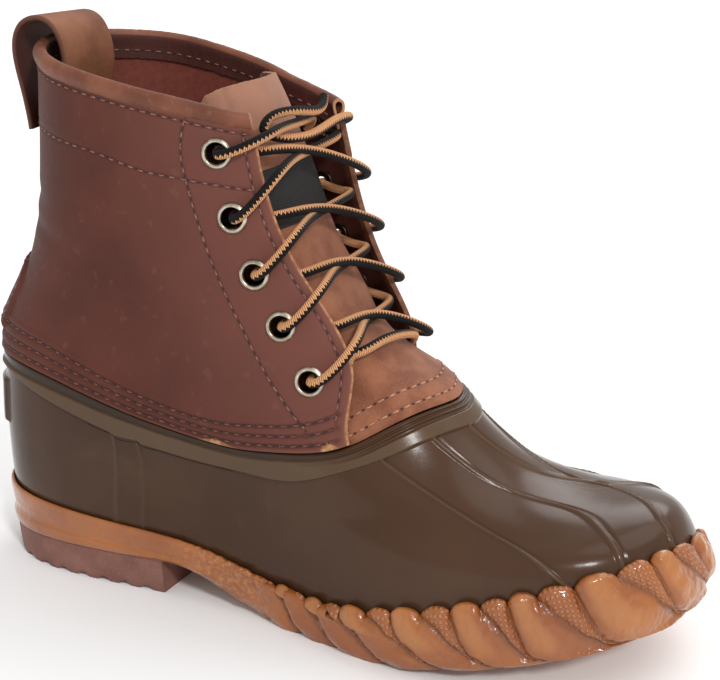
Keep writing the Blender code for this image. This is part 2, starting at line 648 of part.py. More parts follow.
# Heel lift: a separate block under the heel seat with rounded ribs across its underside
def build_heel_lift():
    stations = np.linspace(0, 1, 801)
    sole = outline(stations, np.full(len(stations), HEEL_LIFT_TOP_OUT))
    behind = stations[sole[:, 1] > HEEL_LIFT_START]
    around = np.linspace(behind[0], behind[-1], HEEL_LIFT_STEPS)
    upper = outline(around, np.full(HEEL_LIFT_STEPS, HEEL_LIFT_TOP_OUT))
    lower = outline(around, np.full(HEEL_LIFT_STEPS, HEEL_LIFT_FOOT_OUT))
    upper[:, 2] = HEEL_LIFT - GAP
    lower[:, 2] = 0.0
    lift = add_part("heel_lift", closed_mesh("heel_lift", *slab([upper, lower])), HEEL_GUM)
    body = bmesh.new()
    pitch = (upper[:, 1].max() - HEEL_BREAST) / HEEL_RIBS
    across = Vector((1, 0, 0)).to_track_quat("Z", "Y").to_matrix().to_4x4()
    for k in range(1, HEEL_RIBS):
        place = Vector((0, HEEL_GROOVE_START + pitch * k, HEEL_GROOVE_DEPTH - HEEL_GROOVE_RADIUS))
        across.translation = place * METRE
        bmesh.ops.create_cone(body, cap_ends=True, segments=HEEL_GROOVE_SIDES,
                              radius1=HEEL_GROOVE_RADIUS * METRE, radius2=HEEL_GROOVE_RADIUS * METRE,
                              depth=HEEL_GROOVE_LENGTH * METRE, matrix=across)
    mesh = bpy.data.meshes.new("heel_grooves")
    body.to_mesh(mesh)
    body.free()
    add_boolean(lift, add_cutter("heel_grooves", mesh), "DIFFERENCE")


# Insole: a felt board that lies on the outsole inside the rubber
def build_insole():
    around = (np.arange(INSOLE_STEPS) + 0.5) / INSOLE_STEPS
    lower = outline(around, np.full(INSOLE_STEPS, -RUBBER_WALL - INSOLE_GAP))
    upper = lower.copy()
    lower[:, 2] += GAP
    upper[:, 2] += GAP + INSOLE_THICK
    add_part("insole", closed_mesh("insole", *slab([lower, upper])), FELT)


# Collar binding: a rolled leather edge on top of the shaft
def build_binding():
    around = np.linspace(BINDING_END, 1 - BINDING_END, BINDING_POINTS)
    top = collar(around)
    edge = leather(around, top, (LEATHER_OUT - LEATHER_IN) / 2)
    upward = unit(last_point(around, top) - last_point(around, top - 0.05))
    route = edge + (BINDING_RADIUS + BINDING_GAP) * upward
    roll = tube("collar_binding", route, BINDING_RADIUS, 1, BINDING_POINTS)
    add_part("collar_binding", roll, TAN_LEATHER)


# Pull loop: a wide strap sewn outside and inside the back of the shaft
def build_pull_loop():
    count = len(LOOP_PATH)
    fine = spline(np.arange(count), LOOP_PATH, np.linspace(0, count - 1, LOOP_STEPS))
    across = np.linspace(-1, 1, LOOP_COLUMNS)

    def face(out):
        path = fine[:, :2]
        direction = unit(np.gradient(path, axis=0))
        outward = np.stack([direction[:, 1], -direction[:, 0]], axis=1)
        path = path + out * outward
        grid = np.zeros((len(path), len(across), 3))
        grid[..., 0] = LOOP_CENTRE_X + across[None, :] * LOOP_WIDTH / 2
        grid[..., 1] = path[:, 0, None] - LOOP_WRAP * fine[:, 2, None] * across[None, :] ** 2
        grid[..., 2] = path[:, 1, None]
        return grid

    mesh = closed_mesh("pull_loop", *wall(face(LOOP_THICK / 2), face(-LOOP_THICK / 2), False))
    add_part("pull_loop", mesh, TAN_LEATHER)


def lace_spot(side, around, height, lift):
    """A point off a flap's outer face; side is 1 on the boot's outer side and -1 on its inner side."""
    return leather((side * around) % 1.0, height, LEATHER_OUT + lift)


def throat_spot(across, height, lift):
    """A point between the flaps' front edges; across is 0 at the outer flap and 1 at the inner one."""
    outer, inner = [lace_spot(side, THROAT_EDGE, height, 0.0) for side in (1, -1)]
    outward = unit(last_normal(THROAT_EDGE, height) + last_normal(1 - THROAT_EDGE, height))
    return outer + (inner - outer) * across + lift * outward


def strand_route(side, low, high):
    """From one eyelet over its flap's edge, across the throat and under the other flap."""
    start, near, middle, far, end = [low + (high - low) * share for share in LACE_CLIMB[side]]
    return [lace_spot(side, LACE_START, start, LACE_OVER_EYELET),
            lace_spot(side, LACE_NEAR_EDGE, near, LACE_OVER_EDGE),
            throat_spot(LACE_MIDDLE, middle, LACE_MIDDLE_LIFT),
            lace_spot(-side, LACE_FAR_EDGE, far, LACE_UNDER_FLAP),
            lace_spot(-side, LACE_END, end, LACE_UNDER_FLAP)]


def lace_tube(name, route, points):
    return tube(name, route, LACE_RADIUS, 2, points)


# Lace: each crossing is two strands joined where they meet; a straight bar closes the bottom pair
def build_lace():
    for row in range(len(EYELET_ROWS) - 1):
        name = f"lace_crossing_{row + 1}"
        low, high = EYELET_ROWS[row + 1], EYELET_ROWS[row]
        first, second = [curve_to_mesh(name, lace_tube(name, strand_route(side, low, high), LACE_POINTS))
                         for side in (1, -1)]
        crossing = add_part(name, first, LACE_CORD)
        add_boolean(crossing, add_cutter(name + "_second", second), "UNION")
    bottom = EYELET_ROWS[-1]
    outer_half, inner_half = [[lace_spot(side, around, bottom + up, LACE_UNDER_FLAP)
                               for around, up in ((LACE_END, end), (LACE_FAR_EDGE, edge))]
                              for side, end, edge in zip((1, -1), LACE_BAR_ENDS, LACE_BAR_EDGES)]
    across_throat = [throat_spot(across, bottom + up, lift) for across, up, lift in LACE_BAR]
    bar = outer_half + across_throat + inner_half[::-1]
    add_part("lace_bar", lace_tube("lace_bar", bar, LACE_POINTS), LACE_CORD)
    ends = (("lace_end_outer", 1, OUTER_END, OUTER_END_POINTS),
            ("lace_end_inner", -1, INNER_END, INNER_END_POINTS))
    for (name, side, knot, points), height in zip(ends, LACE_END_START_HEIGHTS):
        start = lace_spot(side, LACE_END_START, height, LACE_OVER_EYELET)
        route = [start] + [throat_spot(*place) for place in knot]
        add_part(name, lace_tube(name, route, points), LACE_CORD)


boot_name = "rubber_bottom_boot"
for old in list(bpy.data.objects):
    bpy.data.objects.remove(old)
pieces = bpy.data.collections.new(boot_name)
cutters = bpy.data.collections.new("cutters")
bpy.context.scene.collection.children.link(pieces)
bpy.context.scene.collection.children.link(cutters)
boot = bpy.data.objects.new(boot_name + "_origin", None)
pieces.objects.link(boot)

build_outsole()
build_heel_lift()
build_rubber()
build_insole()
build_shaft()
build_tongue()
build_binding()
build_pull_loop()
build_eyelets()
build_lace()
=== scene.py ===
"""Looks of a right boot with a laced leather shaft sewn to a moulded rubber bottom.

Shapes are worked out in millimetres and become metres where a mesh is made. The toe points to -Y,
the outer side of the boot is at -X, and the floor is z = 0.
"""

import bpy
import numpy as np
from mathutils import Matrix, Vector, noise
from mathutils.kdtree import KDTree


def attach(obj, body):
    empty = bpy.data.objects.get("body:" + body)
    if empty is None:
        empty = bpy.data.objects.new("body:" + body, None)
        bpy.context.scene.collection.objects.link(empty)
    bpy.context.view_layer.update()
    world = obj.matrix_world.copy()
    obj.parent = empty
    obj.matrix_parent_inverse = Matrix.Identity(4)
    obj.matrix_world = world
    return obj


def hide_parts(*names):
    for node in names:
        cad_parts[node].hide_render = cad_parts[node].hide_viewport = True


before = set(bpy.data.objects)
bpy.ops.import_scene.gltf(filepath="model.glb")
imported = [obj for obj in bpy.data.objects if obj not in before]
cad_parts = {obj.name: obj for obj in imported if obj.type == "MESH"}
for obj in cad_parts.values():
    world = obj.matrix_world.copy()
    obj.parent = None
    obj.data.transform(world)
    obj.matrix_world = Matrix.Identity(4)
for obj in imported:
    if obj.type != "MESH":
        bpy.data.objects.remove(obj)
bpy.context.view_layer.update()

# Rubber bottom
# A bootee moulded in one piece of olive-brown rubber over a last. It has a raised band round its sewn
# top edge, ribs over the toe, an upright strip on each side, and a lip that goes up inside the leather.
METRE = 0.001
# Sections of the last from the sole's feather edge up to the collar:
# back y, back z, front y, front z, how far it follows the sole, half widths at heel, waist, ball, toe
LAST_SECTIONS = (
    (151, 23, -150, 30, 1.15, 33.0, 33.5, 49.5, 36.0),
    (152.5, 36, -152, 37, 1.0, 35.0, 36.0, 51.0, 37.0),
    (153.5, 50, -145, 53.4, 0.57, 35.0, 36.5, 48.5, 37.9),
    (154.5, 66, -129, 60.1, 0.85, 33.5, 36.0, 43.3, 30.3),
    (155, 84, -95, 62.5, 0.1, 31.0, 35.5, 40.9, 28.1),
    (153.5, 104, -63.3, 84.9, 0.0, 29.5, 36.0, 38.0, 25.4),
    (141, 127, -37, 116, 0.0, 29.5, 37.5, 37.5, 25.5),
    (132, 153, -15, 143, 0.0, 30.5, 40.0, 38.0, 25.0),
    (128, 185, -1, 171, 0.0, 31.5, 42.5, 39.5, 25.0),
    (126, 219, 6, 200, 0.0, 32.0, 44.0, 41.0, 26.0),
)
# Shares of the length, counted from the heel, where those half widths are; the first lies a little further on
STATION_SHARES = (0.05, 0.42, 0.70, 0.93)
HEEL_STATION_SHIFT = 10.0
# The foot's seat: height under the ball, rise at the heel and spring at the toe
SEAT_HEIGHT = 10.0
SEAT_HEEL_RISE = 13.0
SEAT_RISE_START = -18.0
SEAT_RISE_LENGTH = 90.0
SEAT_TOE_RISE = 14.0
SEAT_TOE_START = -78.0
SEAT_TOE_LENGTH = 71.0
CHORD_POWER = 0.6
# Curve of the foot seen from above: y, x of the centre line
SWING = ((-153, 7.8), (-113, 2.8), (-63, -0.7), (27, -0.2), (97, 2.8), (147, 2.8))
# Around the boot, 0 is the front centre line and 0.5 the back; heights count sections.
# around, height of the sewn top edge
RUBBER_EDGE = ((0.0, 5.25), (0.059, 5.21), (0.108, 4.96), (0.161, 4.52), (0.2165, 4.17),
               (0.274, 3.86), (0.3205, 3.95), (0.3685, 4.29), (0.415, 4.42), (0.5, 4.30))
# around, height of the band's foot before its two steps
BAND_FOOT = ((0.0, 5.17), (0.069, 5.10), (0.119, 4.79), (0.164, 4.39), (0.2145, 3.88), (0.245, 3.60),
             (0.271, 3.42), (0.3045, 3.27), (0.33, 3.33), (0.346, 3.32), (0.3545, 3.41), (0.371, 3.61),
             (0.3976, 3.90), (0.4206, 4.08), (0.5, 4.12))
BAND_STEPS = ((0.3455, 0.10), (0.3305, 0.10))
# Ribs over the toe: height, around
CENTRE_RIB = ((1.0, 0.024), (1.9, 0.0264), (2.12, 0.0243), (2.45, 0.0205), (2.85, 0.0056), (3.10, -0.0115),
              (3.31, -0.0270), (3.56, -0.0330), (3.89, -0.0257), (4.13, -0.0147), (4.42, -0.0017),
              (4.82, 0.0150), (5.4, 0.020))
INNER_RIB = ((1.0, 0.070), (1.97, 0.067), (2.42, 0.0654), (2.95, 0.0583), (3.38, 0.0434), (3.73, 0.0372),
             (3.99, 0.0425), (4.20, 0.0492), (4.41, 0.0556), (4.70, 0.062), (5.4, 0.080))
OUTER_RIB = ((1.0, 0.090), (1.63, 0.1003), (1.85, 0.1052), (2.19, 0.1118), (2.81, 0.1178), (3.36, 0.1162),
             (4.12, 0.1144), (4.515, 0.123), (5.4, 0.134))
# Edges of the upright strip: height, around
STRIP_BACK = ((0.66, 0.3567), (3.19, 0.346))
STRIP_FRONT = ((0.64, 0.3425), (3.12, 0.3323))
RUBBER_COLUMNS = 660
BODY_ROWS = 98
BAND_ROWS = 40
# The band's rows start a little below its foot, as a share of its depth
BAND_START = -0.07
RIB_HEIGHT = 0.95
RIB_HALF_WIDTH = 1.5
# A shallow groove beside each rib: distance, half width, depth
RIB_GROOVE = (2.2, 1.2, 0.45)
STRIP_LINE_HEIGHT = 0.6
STRIP_LINE_HALF_WIDTH = 0.9
STRIP_PLATE_HEIGHT = 0.35
# The tab at the back of the heel: half width around, lowest and highest place, thickness
TAB_HALF_WIDTH = 0.060
TAB_HEIGHTS = (2.62, 3.80)
TAB_EDGE = 0.07
TAB_THICK = 1.7
# Depth and height of the lip at the sides and at the front
LIP_DEPTHS = (2.2, 4.6)
LIP_HEIGHTS = (14.0, 6.0)
LIP_WALL = 2.0
RUBBER_WALL = 3.2


def spline(knots, values, at, period=None):
    """Read a smooth cubic through the values; a period closes it into a loop."""
    knots = np.asarray(knots, float)
    values = np.asarray(values, float)
    count = len(knots)
    system = np.eye(count)
    right = np.zeros_like(values)
    steps = np.append(np.diff(knots), knots[0] + period - knots[-1]) if period else np.diff(knots)
    for i in range(count) if period else range(1, count - 1):
        after = (i + 1) % count
        system[i, i - 1] = steps[i - 1]
        system[i, i] = 2 * (steps[i - 1] + steps[i])
        system[i, after] = steps[i]
        right[i] = (values[after] - values[i]) / steps[i] - (values[i] - values[i - 1]) / steps[i - 1]
    bend = np.linalg.solve(system, 6 * right.reshape(count, -1)).reshape(values.shape)
    at = np.asarray(at, float)
    if period:
        at = (at - knots[0]) % period + knots[0]
        knots = np.append(knots, knots[0] + period)
        values = np.concatenate([values, values[:1]])
        bend = np.concatenate([bend, bend[:1]])
    i = np.clip(np.searchsorted(knots, at, side="right") - 1, 0, len(knots) - 2)
    axes = (1,) * (values.ndim - 1)
    step = (knots[i + 1] - knots[i]).reshape(i.shape + axes)
    t = (at - knots[i]).reshape(i.shape + axes)
    slope = (values[i + 1] - values[i]) / step - step * (2 * bend[i] + bend[i + 1]) / 6
    return values[i] + t * (slope + t * (bend[i] / 2 + t * (bend[i + 1] - bend[i]) / (6 * step)))


def smooth(t):
    t = np.clip(t, 0.0, 1.0)
    return t * t * (3 - 2 * t)


def hump(distance, half_width):
    """A rounded ridge: 1 at no distance, 0 beyond its half width."""
    return smooth(1 - np.abs(distance) / half_width)


def last_section(back_y, back_z, front_y, front_z, follow, *half_widths):
    """Ten points of one section: front, four down the outer side, back, four up the inner side."""

    def seat(y):
        toe = np.clip((SEAT_TOE_START - y) / SEAT_TOE_LENGTH, 0, None)
        heel = smooth((y - SEAT_RISE_START) / SEAT_RISE_LENGTH)
        return SEAT_HEIGHT + SEAT_HEEL_RISE * heel + SEAT_TOE_RISE * toe ** 2

    stations = (STATION_SHARES[0] + HEEL_STATION_SHIFT / (back_y - front_y), *STATION_SHARES[1:])
    sides = [(1.0, 0)] + [(w, -1) for w in stations[::-1]] + [(0.0, 0)] + [(w, 1) for w in stations]
    half = dict(zip(stations, half_widths))
    points = []
    for w, side in sides:
        y = back_y + (front_y - back_y) * w
        chord = seat(back_y) + (seat(front_y) - seat(back_y)) * w
        z = back_z + (front_z - back_z) * w + follow * (seat(y) - chord)
        points.append((spline(*zip(*SWING), y) + side * half.get(w, 0), y, z))
    return points


LAST = np.array([last_section(*row) for row in LAST_SECTIONS])
chords = np.linalg.norm(np.roll(LAST, -1, axis=1) - LAST, axis=2) ** CHORD_POWER
LAST_AROUND = np.append(0, np.cumsum((chords / chords.sum(axis=1, keepdims=True)).mean(axis=0))[:-1])


def last_point(around, height):
    """Points on the last."""
    around, height = np.broadcast_arrays(np.asarray(around, float), np.asarray(height, float))
    high = height.ravel()
    loops = np.stack([spline(LAST_AROUND, loop, around.ravel(), period=1.0) for loop in LAST])
    count = len(LAST)
    system = np.eye(count)
    right = np.zeros_like(loops)
    for i in range(1, count - 1):
        system[i, i - 1:i + 2] = 1, 4, 1
        right[i] = 6 * (loops[i + 1] - 2 * loops[i] + loops[i - 1])
    bend = np.linalg.solve(system, right.reshape(count, -1)).reshape(right.shape)
    i = np.clip(high.astype(int), 0, count - 2)
    t = (high - i)[:, None]
    j = np.arange(len(i))
    slope = loops[i + 1, j] - loops[i, j] - (2 * bend[i, j] + bend[i + 1, j]) / 6
    point = loops[i, j] + t * (slope + t * (bend[i, j] / 2 + t * (bend[i + 1, j] - bend[i, j]) / 6))
    return point.reshape(around.shape + (3,))


def unit(vectors):
    return vectors / np.linalg.norm(vectors, axis=-1, keepdims=True)


def facing_out(surface, across, up, step=0.004):
    """Outward direction of a surface whose points come from a place across and a place up."""
    along = surface(across + step, up) - surface(across - step, up)
    upward = surface(across, np.asarray(up) + step) - surface(across, np.asarray(up) - step)
    return unit(np.cross(upward, along))


def last_normal(around, height):
    return facing_out(last_point, around, height)


def off_last(around, height, out):
    """Points a given distance outside the last."""
    return last_point(around, height) + np.asarray(out, float)[..., None] * last_normal(around, height)


def rise(around, height, distance):
    """Height in sections that lies a distance in millimetres further up the last."""
    step = 0.05
    run = last_point(around, height + step) - last_point(around, height - step)
    return height + distance * 2 * step / np.linalg.norm(run, axis=-1)


def stretch(around, height):
    """Millimetres on the last for a full turn around, at this place."""
    step = 0.002
    run = last_point(around + step, height) - last_point(around - step, height)
    return np.linalg.norm(run, axis=-1) / (2 * step)


def signed(around):
    """Distance around from the front centre line, negative on the inner side."""
    return (np.asarray(around) + 0.5) % 1.0 - 0.5


def from_front(around):
    return np.abs(signed(around))


def rubber_edge(around):
    return spline(*zip(*RUBBER_EDGE), from_front(around))


def spread(count, places, weights):
    """Places around from 0 to 1, alike on both sides and closer where the weight is higher."""
    fine = np.linspace(0, 1, 4001)
    share = np.cumsum(np.interp(from_front(fine), places, weights))
    return np.interp((np.arange(count) + 0.5) / count * share[-1], share, fine)


def grid_faces(rows, columns, closed=False):
    """Quads between neighbouring points of a grid; a closed one joins its last column to its first."""
    r, c = np.meshgrid(np.arange(rows - 1), np.arange(columns if closed else columns - 1), indexing="ij")
    after = (c + 1) % columns
    corners = [r * columns + c, r * columns + after, (r + 1) * columns + after, (r + 1) * columns + c]
    return np.stack(corners, axis=-1).reshape(-1, 4)


def add_piece(name, points, faces, finish, slot, stands_for=(), sharp=None, **marks):
    """A mesh piece from points in millimetres; marks are values on its points that its finish reads."""
    mesh = bpy.data.meshes.new(name)
    mesh.from_pydata((np.asarray(points).reshape(-1, 3) * METRE).tolist(), [], np.asarray(faces).tolist())
    mesh.shade_smooth()
    if sharp:
        mesh.set_sharp_from_angle(angle=sharp)
    for mark, values in marks.items():
        layer = mesh.attributes.new(mark, "FLOAT", "POINT")
        layer.data.foreach_set("value", np.asarray(values, np.float32).ravel())
    mesh.materials.append(finish)
    piece = bpy.data.objects.new(name, mesh)
    bpy.context.scene.collection.objects.link(piece)
    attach(piece, "root")
    if stands_for:
        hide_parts(*stands_for)
    return piece


class Socket:
    """One output of a material's nodes; arithmetic on it adds Math nodes to the material."""

    def __init__(self, material, output=None):
        self.material = material
        self.output = output

    def node(self, kind, settings, sockets, output=0):
        """Add a node: its settings first, then its sockets' values or links; returns one output."""
        tree = self.material.node_tree
        made = tree.nodes.new("ShaderNode" + kind)
        for setting, value in settings.items():
            setattr(made, setting, value)
        for key, value in sockets.items():
            self.feed(made.inputs[key], value)
        return Socket(self.material, made.outputs[output])

    def feed(self, socket, value):
        if isinstance(value, Socket):
            self.material.node_tree.links.new(value.output, socket)
        else:
            socket.default_value = value

    def surface(self, sockets):
        """Give the material's surface shader its values and links."""
        shader = self.material.node_tree.nodes["Principled BSDF"]
        for key, value in sockets.items():
            self.feed(shader.inputs[key], value)
        return self.material

    def math(self, operation, first, second=0.0):
        return self.node("Math", {"operation": operation}, {0: first, 1: second})

    def __add__(self, other):
        return self.math("ADD", self, other)

    def __sub__(self, other):
        return self.math("SUBTRACT", self, other)

    def __rsub__(self, other):
        return self.math("SUBTRACT", other, self)

    def __mul__(self, other):
        return self.math("MULTIPLY", self, other)

    def __mod__(self, other):
        return self.math("FLOORED_MODULO", self, other)

    def __abs__(self):
        return self.math("ABSOLUTE", self)

    __radd__ = __add__
    __rmul__ = __mul__

    def between(self, low, high):
        """0 where the value is below low, 1 where it is above high, smooth in between."""
        limits = {"Value": self, "From Min": low, "From Max": high}
        return self.node("MapRange", {"interpolation_type": "SMOOTHSTEP"}, limits)

    def mix(self, low, high):
        """A colour that is low where this mask is 0 and high where it is 1."""
        return self.node("Mix", {"data_type": "RGBA"}, {0: self, 6: low, 7: high}, 2)

    def mark(self, name):
        """A value that the mesh carries on its points."""
        return self.node("Attribute", {"attribute_name": name}, {}, 2)

    def place(self):
        return self.node("TexCoord", {}, {}, 3)

    def cloud(self, scale, detail):
        """Soft noise; the scale counts its patches in a metre."""
        return self.node("TexNoise", {}, {"Vector": self.place(), "Scale": scale, "Detail": detail})

    def cells(self, scale):
        """Distance to the middle of small cells, such as the pores of leather."""
        return self.node("TexVoronoi", {"feature": "F1"}, {"Vector": self.place(), "Scale": scale})

    def bump(self, depth, under=None):
        """Surface relief from this height; the depth is in millimetres."""
        sockets = {"Height": self, "Distance": depth * METRE, "Strength": 1.0}
        if under:
            sockets["Normal"] = under
        return self.node("Bump", {}, sockets)


def new_finish(name):
    """An empty material and the start of its nodes."""
    material = bpy.data.materials.new(name)
    material.use_nodes = True
    return Socket(material)


def colour(red, green, blue):
    """A colour as the eye names it, from 0 to 255, for a shader."""
    shares = np.array([red, green, blue]) / 255
    return (*np.where(shares <= 0.04045, shares / 12.92, ((shares + 0.055) / 1.055) ** 2.4), 1.0)


around = spread(RUBBER_COLUMNS, (0, 0.16, 0.2, 0.31, 0.325, 0.346, 0.36, 0.5),
                (2.4, 2.2, 1.0, 1.0, 3.0, 3.0, 1.0, 1.1))
near = from_front(around)
edge = rubber_edge(around)
foot = spline(*zip(*BAND_FOOT), near)
for place, drop in BAND_STEPS:
    foot = foot - drop * smooth((place - near) / 0.0015)
body_rows = foot * np.linspace(0, 0.985, BODY_ROWS)[:, None]
band_rows = foot + (edge - foot) * np.linspace(BAND_START, 1, BAND_ROWS)[:, None]
height = np.concatenate([body_rows, band_rows])
face = last_point(around, height)
steps = np.linalg.norm(np.diff(face, axis=0), axis=2)
below = np.append(np.cumsum(steps[::-1], axis=0)[::-1], np.zeros((1, RUBBER_COLUMNS)), axis=0)
band_depth = below[BODY_ROWS] / (1 - BAND_START)
turn = stretch(around, height)
side = signed(around)

front = 1 - smooth((near - 0.10) / 0.12)
flank = smooth((band_depth - below) / 0.9)
gap_depth = 3.0 + 1.4 * hump(near - 0.365, 0.11)
side_face = smooth((below - gap_depth) / 0.7) * flank
front_face = smooth((below - 4.6) / 0.8) * flank
side_band = 0.45 * smooth((below - 0.1) / 0.4) * flank + 1.25 * side_face
front_band = hump(below - 1.0, 0.8) + 1.2 * hump(below - 3.0, 0.9) + 0.25 * flank + 1.15 * front_face
relief = side_band * (1 - front) + front_band * front
ribs = np.zeros_like(relief)
for rib, sign in ((CENTRE_RIB, 1), (INNER_RIB, 1), (INNER_RIB, -1), (OUTER_RIB, 1), (OUTER_RIB, -1)):
    off_rib = (side - sign * spline(*zip(*rib), np.clip(height, 1.0, 5.4))) * turn
    here = (1 - flank) * smooth((0.25 - near) / 0.02)
    ridge = here * hump(off_rib, RIB_HALF_WIDTH)
    ribs += ridge
    beside, groove_half, groove_depth = RIB_GROOVE
    relief += RIB_HEIGHT * ridge - here * groove_depth * hump(off_rib + beside, groove_half)
strip_back, strip_front = [(near - np.interp(height, *zip(*strip))) * turn
                           for strip in (STRIP_BACK, STRIP_FRONT)]
strip_lines = hump(strip_back, STRIP_LINE_HALF_WIDTH) + hump(strip_front, STRIP_LINE_HALF_WIDTH)
strip_plate = smooth(-strip_back / 0.8 + 0.5) * smooth(strip_front / 0.8 + 0.5)
relief += (1 - flank) * (STRIP_LINE_HEIGHT * strip_lines + STRIP_PLATE_HEIGHT * strip_plate)
# These lines also get the ribs' painted highlight.
ribs += (1 - flank) * STRIP_LINE_HEIGHT * strip_lines
tab_low, tab_high = TAB_HEIGHTS
heel_tab = smooth((TAB_HALF_WIDTH - np.abs(around - 0.5)) / 0.003) * smooth((height - tab_low) / TAB_EDGE)
relief += TAB_THICK * heel_tab * smooth((tab_high - height) / TAB_EDGE)
outer = face + relief[..., None] * last_normal(around, height)

lip = LIP_DEPTHS[0] + (LIP_DEPTHS[1] - LIP_DEPTHS[0]) * front
lip_top = rise(around, edge, LIP_HEIGHTS[0] + (LIP_HEIGHTS[1] - LIP_HEIGHTS[0]) * front)
inside_rows = [off_last(around, rise(around, edge, 0.15), -0.35 + 0 * lip),
               off_last(around, rise(around, edge, 0.1), -lip),
               off_last(around, lip_top, -lip),
               off_last(around, lip_top, -lip - LIP_WALL)]
for share in (0.97, 0.8, 0.6, 0.4, 0.2, 0.0):
    depth = RUBBER_WALL + (lip + LIP_WALL - RUBBER_WALL) * smooth((share - 0.7) / 0.2)
    inside_rows.append(off_last(around, edge * share, -depth))
points = np.concatenate([outer, np.stack(inside_rows)])


def padded_mark(values):
    """Marks of the outer rows, with none on the inside rows."""
    return np.concatenate([values, np.zeros((len(inside_rows), RUBBER_COLUMNS))])


rubber = new_finish("olive_rubber")
cloudy = rubber.cloud(22.0, 4.0)
speck = rubber.cloud(1600.0, 2.0)
smear = rubber.cloud(75.0, 5.0)
to_heel = rubber.node("SeparateXYZ", {}, {"Vector": rubber.place()}, 1).between(-0.10, 0.12)
tint = to_heel.mix(colour(70, 47, 32), colour(60, 39, 24))
tint = (cloudy.between(0.35, 0.7) * 0.5).mix(tint, colour(80, 56, 40))
# Painted light: the band's face is lighter where it faces up and out and catches the light.
tint = (rubber.mark("band") * 0.7).mix(tint, colour(90, 71, 52))
# Painted shade and dirt: the groove under the leather's edge is darker.
tint = (rubber.mark("recess") * 0.6).mix(tint, colour(42, 34, 26))
# Painted highlight: the ribs and the strip's lines are lighter.
tint = (rubber.mark("ribs") * 0.35).mix(tint, colour(104, 82, 60))
tint = (smear.between(0.58, 0.85) * 0.15).mix(tint, colour(104, 86, 68))
skin = speck.bump(0.02, smear.bump(0.12, cloudy.bump(0.5)))
olive_rubber = rubber.surface({"Base Color": tint, "Roughness": 0.15 + 0.06 * cloudy + 0.05 * speck,
                               "Normal": skin, "Specular IOR Level": 0.22})
add_piece("rubber_bootee", points, grid_faces(len(points), RUBBER_COLUMNS, True), olive_rubber,
          "olive_rubber", ["rubber_bottom"],
          # painted light on the band's face
          band=padded_mark(side_face * (1 - front) + front_face * front),
          # painted shade and dirt in the groove under the leather's edge
          recess=padded_mark(smooth((gap_depth + 0.2 - below) / 0.5) * (1 - front)),
          # painted highlight on the ribs and the strip's lines
          ribs=padded_mark(ribs))

# Outsole
# One moulding of glossy gum rubber under the foot. Its rim wraps up the rubber bottom: round the forefoot
# as a rope of smooth strands and dotted strands, at the heel as a plain rounded edge.
RIM_TOP = ((0.0, 1.65), (0.059, 1.84), (0.12, 1.62), (0.181, 1.18), (0.2215, 0.70), (0.2515, 0.23),
           (0.2815, 0.28), (0.3115, 0.64), (0.352, 0.67), (0.4275, 0.72), (0.5, 0.80))
# Places of the strands' tops around the outer side; they are the same on the inner side.
# Smooth and dotted strands take turns, starting with a smooth one at the toe.
STRAND_TOPS = (0.0, 0.024, 0.042, 0.060, 0.087, 0.109, 0.126, 0.139, 0.154, 0.169, 0.187, 0.201, 0.2195,
               0.231, 0.244, 0.2545, 0.264, 0.275)
LAST_STRAND = 16
ROPE_END = 0.293
DOT_PITCH = 1.9
SOLE_COLUMNS = 1080
SOLE_ROWS = 54
# The dots are counted round the boot along this row of the rim
RUN_ROW = 20
# How far the strands stand out, and how far the rim dips between their tops
STRAND_PROUD = 3.3
STRAND_DIP = 2.4
# The rim is lower on the inner side of the toe, in sections of the last
INNER_TOE_DROP = 0.55
TOE_TREAD_START = -40.0
TOE_TREAD_LENGTH = 113.0
TOE_TREAD_LIFT = 24.0
TOE_TREAD_POWER = 1.3
HEEL_LIFT = 15.0
HEEL_BREAST = 58.0


def tread(y):
    """Underside of the sole: flat forefoot, toe spring, waist rising to the heel."""
    toe = np.clip((TOE_TREAD_START - y) / TOE_TREAD_LENGTH, 0, None)
    return TOE_TREAD_LIFT * toe ** TOE_TREAD_POWER + HEEL_LIFT * smooth(y / HEEL_BREAST)


def outline(around, out):
    """The feather edge moved sideways by a distance, at its own height."""
    flat = last_normal(around, np.zeros_like(around))
    flat[:, 2] = 0
    return last_point(around, 0.0) + np.asarray(out, float)[..., None] * unit(flat)


def strand_count(around):
    """Counts the strands' tops along the rim, from the outer waist round the toe to the inner waist."""
    away = np.interp(from_front(around), STRAND_TOPS, np.arange(len(STRAND_TOPS)))
    return np.where(signed(around) >= 0, LAST_STRAND - away, LAST_STRAND + away)


around = spread(SOLE_COLUMNS, (0, 0.27, 0.31, 0.5), (3.0, 3.0, 1.0, 1.0))
near = from_front(around)
rope = smooth((ROPE_END - near) / 0.03)
count = strand_count(around)


def strand_pair(down):
    """Place inside a pair of strands and the share that the smooth one takes; down goes 0 to 1."""
    lean = 1.9 * down ** 1.7 - 0.15 * np.sin(np.pi * down)
    return ((count - lean) / 2 + 0.25) % 1.0, 0.50 + 0.45 * smooth((down - 0.05) / 0.5)


def strand_height(down):
    """Height of the strands, 0 to 1, and how far a dotted strand shows."""
    pair, share = strand_pair(down)
    dotted = pair > share
    inside = np.where(dotted, (pair - share) / (1 - share), pair / share)
    lean_over = inside ** np.where(dotted, 1.0, 1.0 - 0.3 * smooth(down / 0.3))
    high = (1 - np.abs(2 * lean_over - 1) ** 2.2) ** 0.75
    shown = dotted * high * (1 - 0.7 * smooth((down - 0.45) / 0.3))
    return high * np.where(dotted, 0.9 - 0.5 * down, 1.0), shown


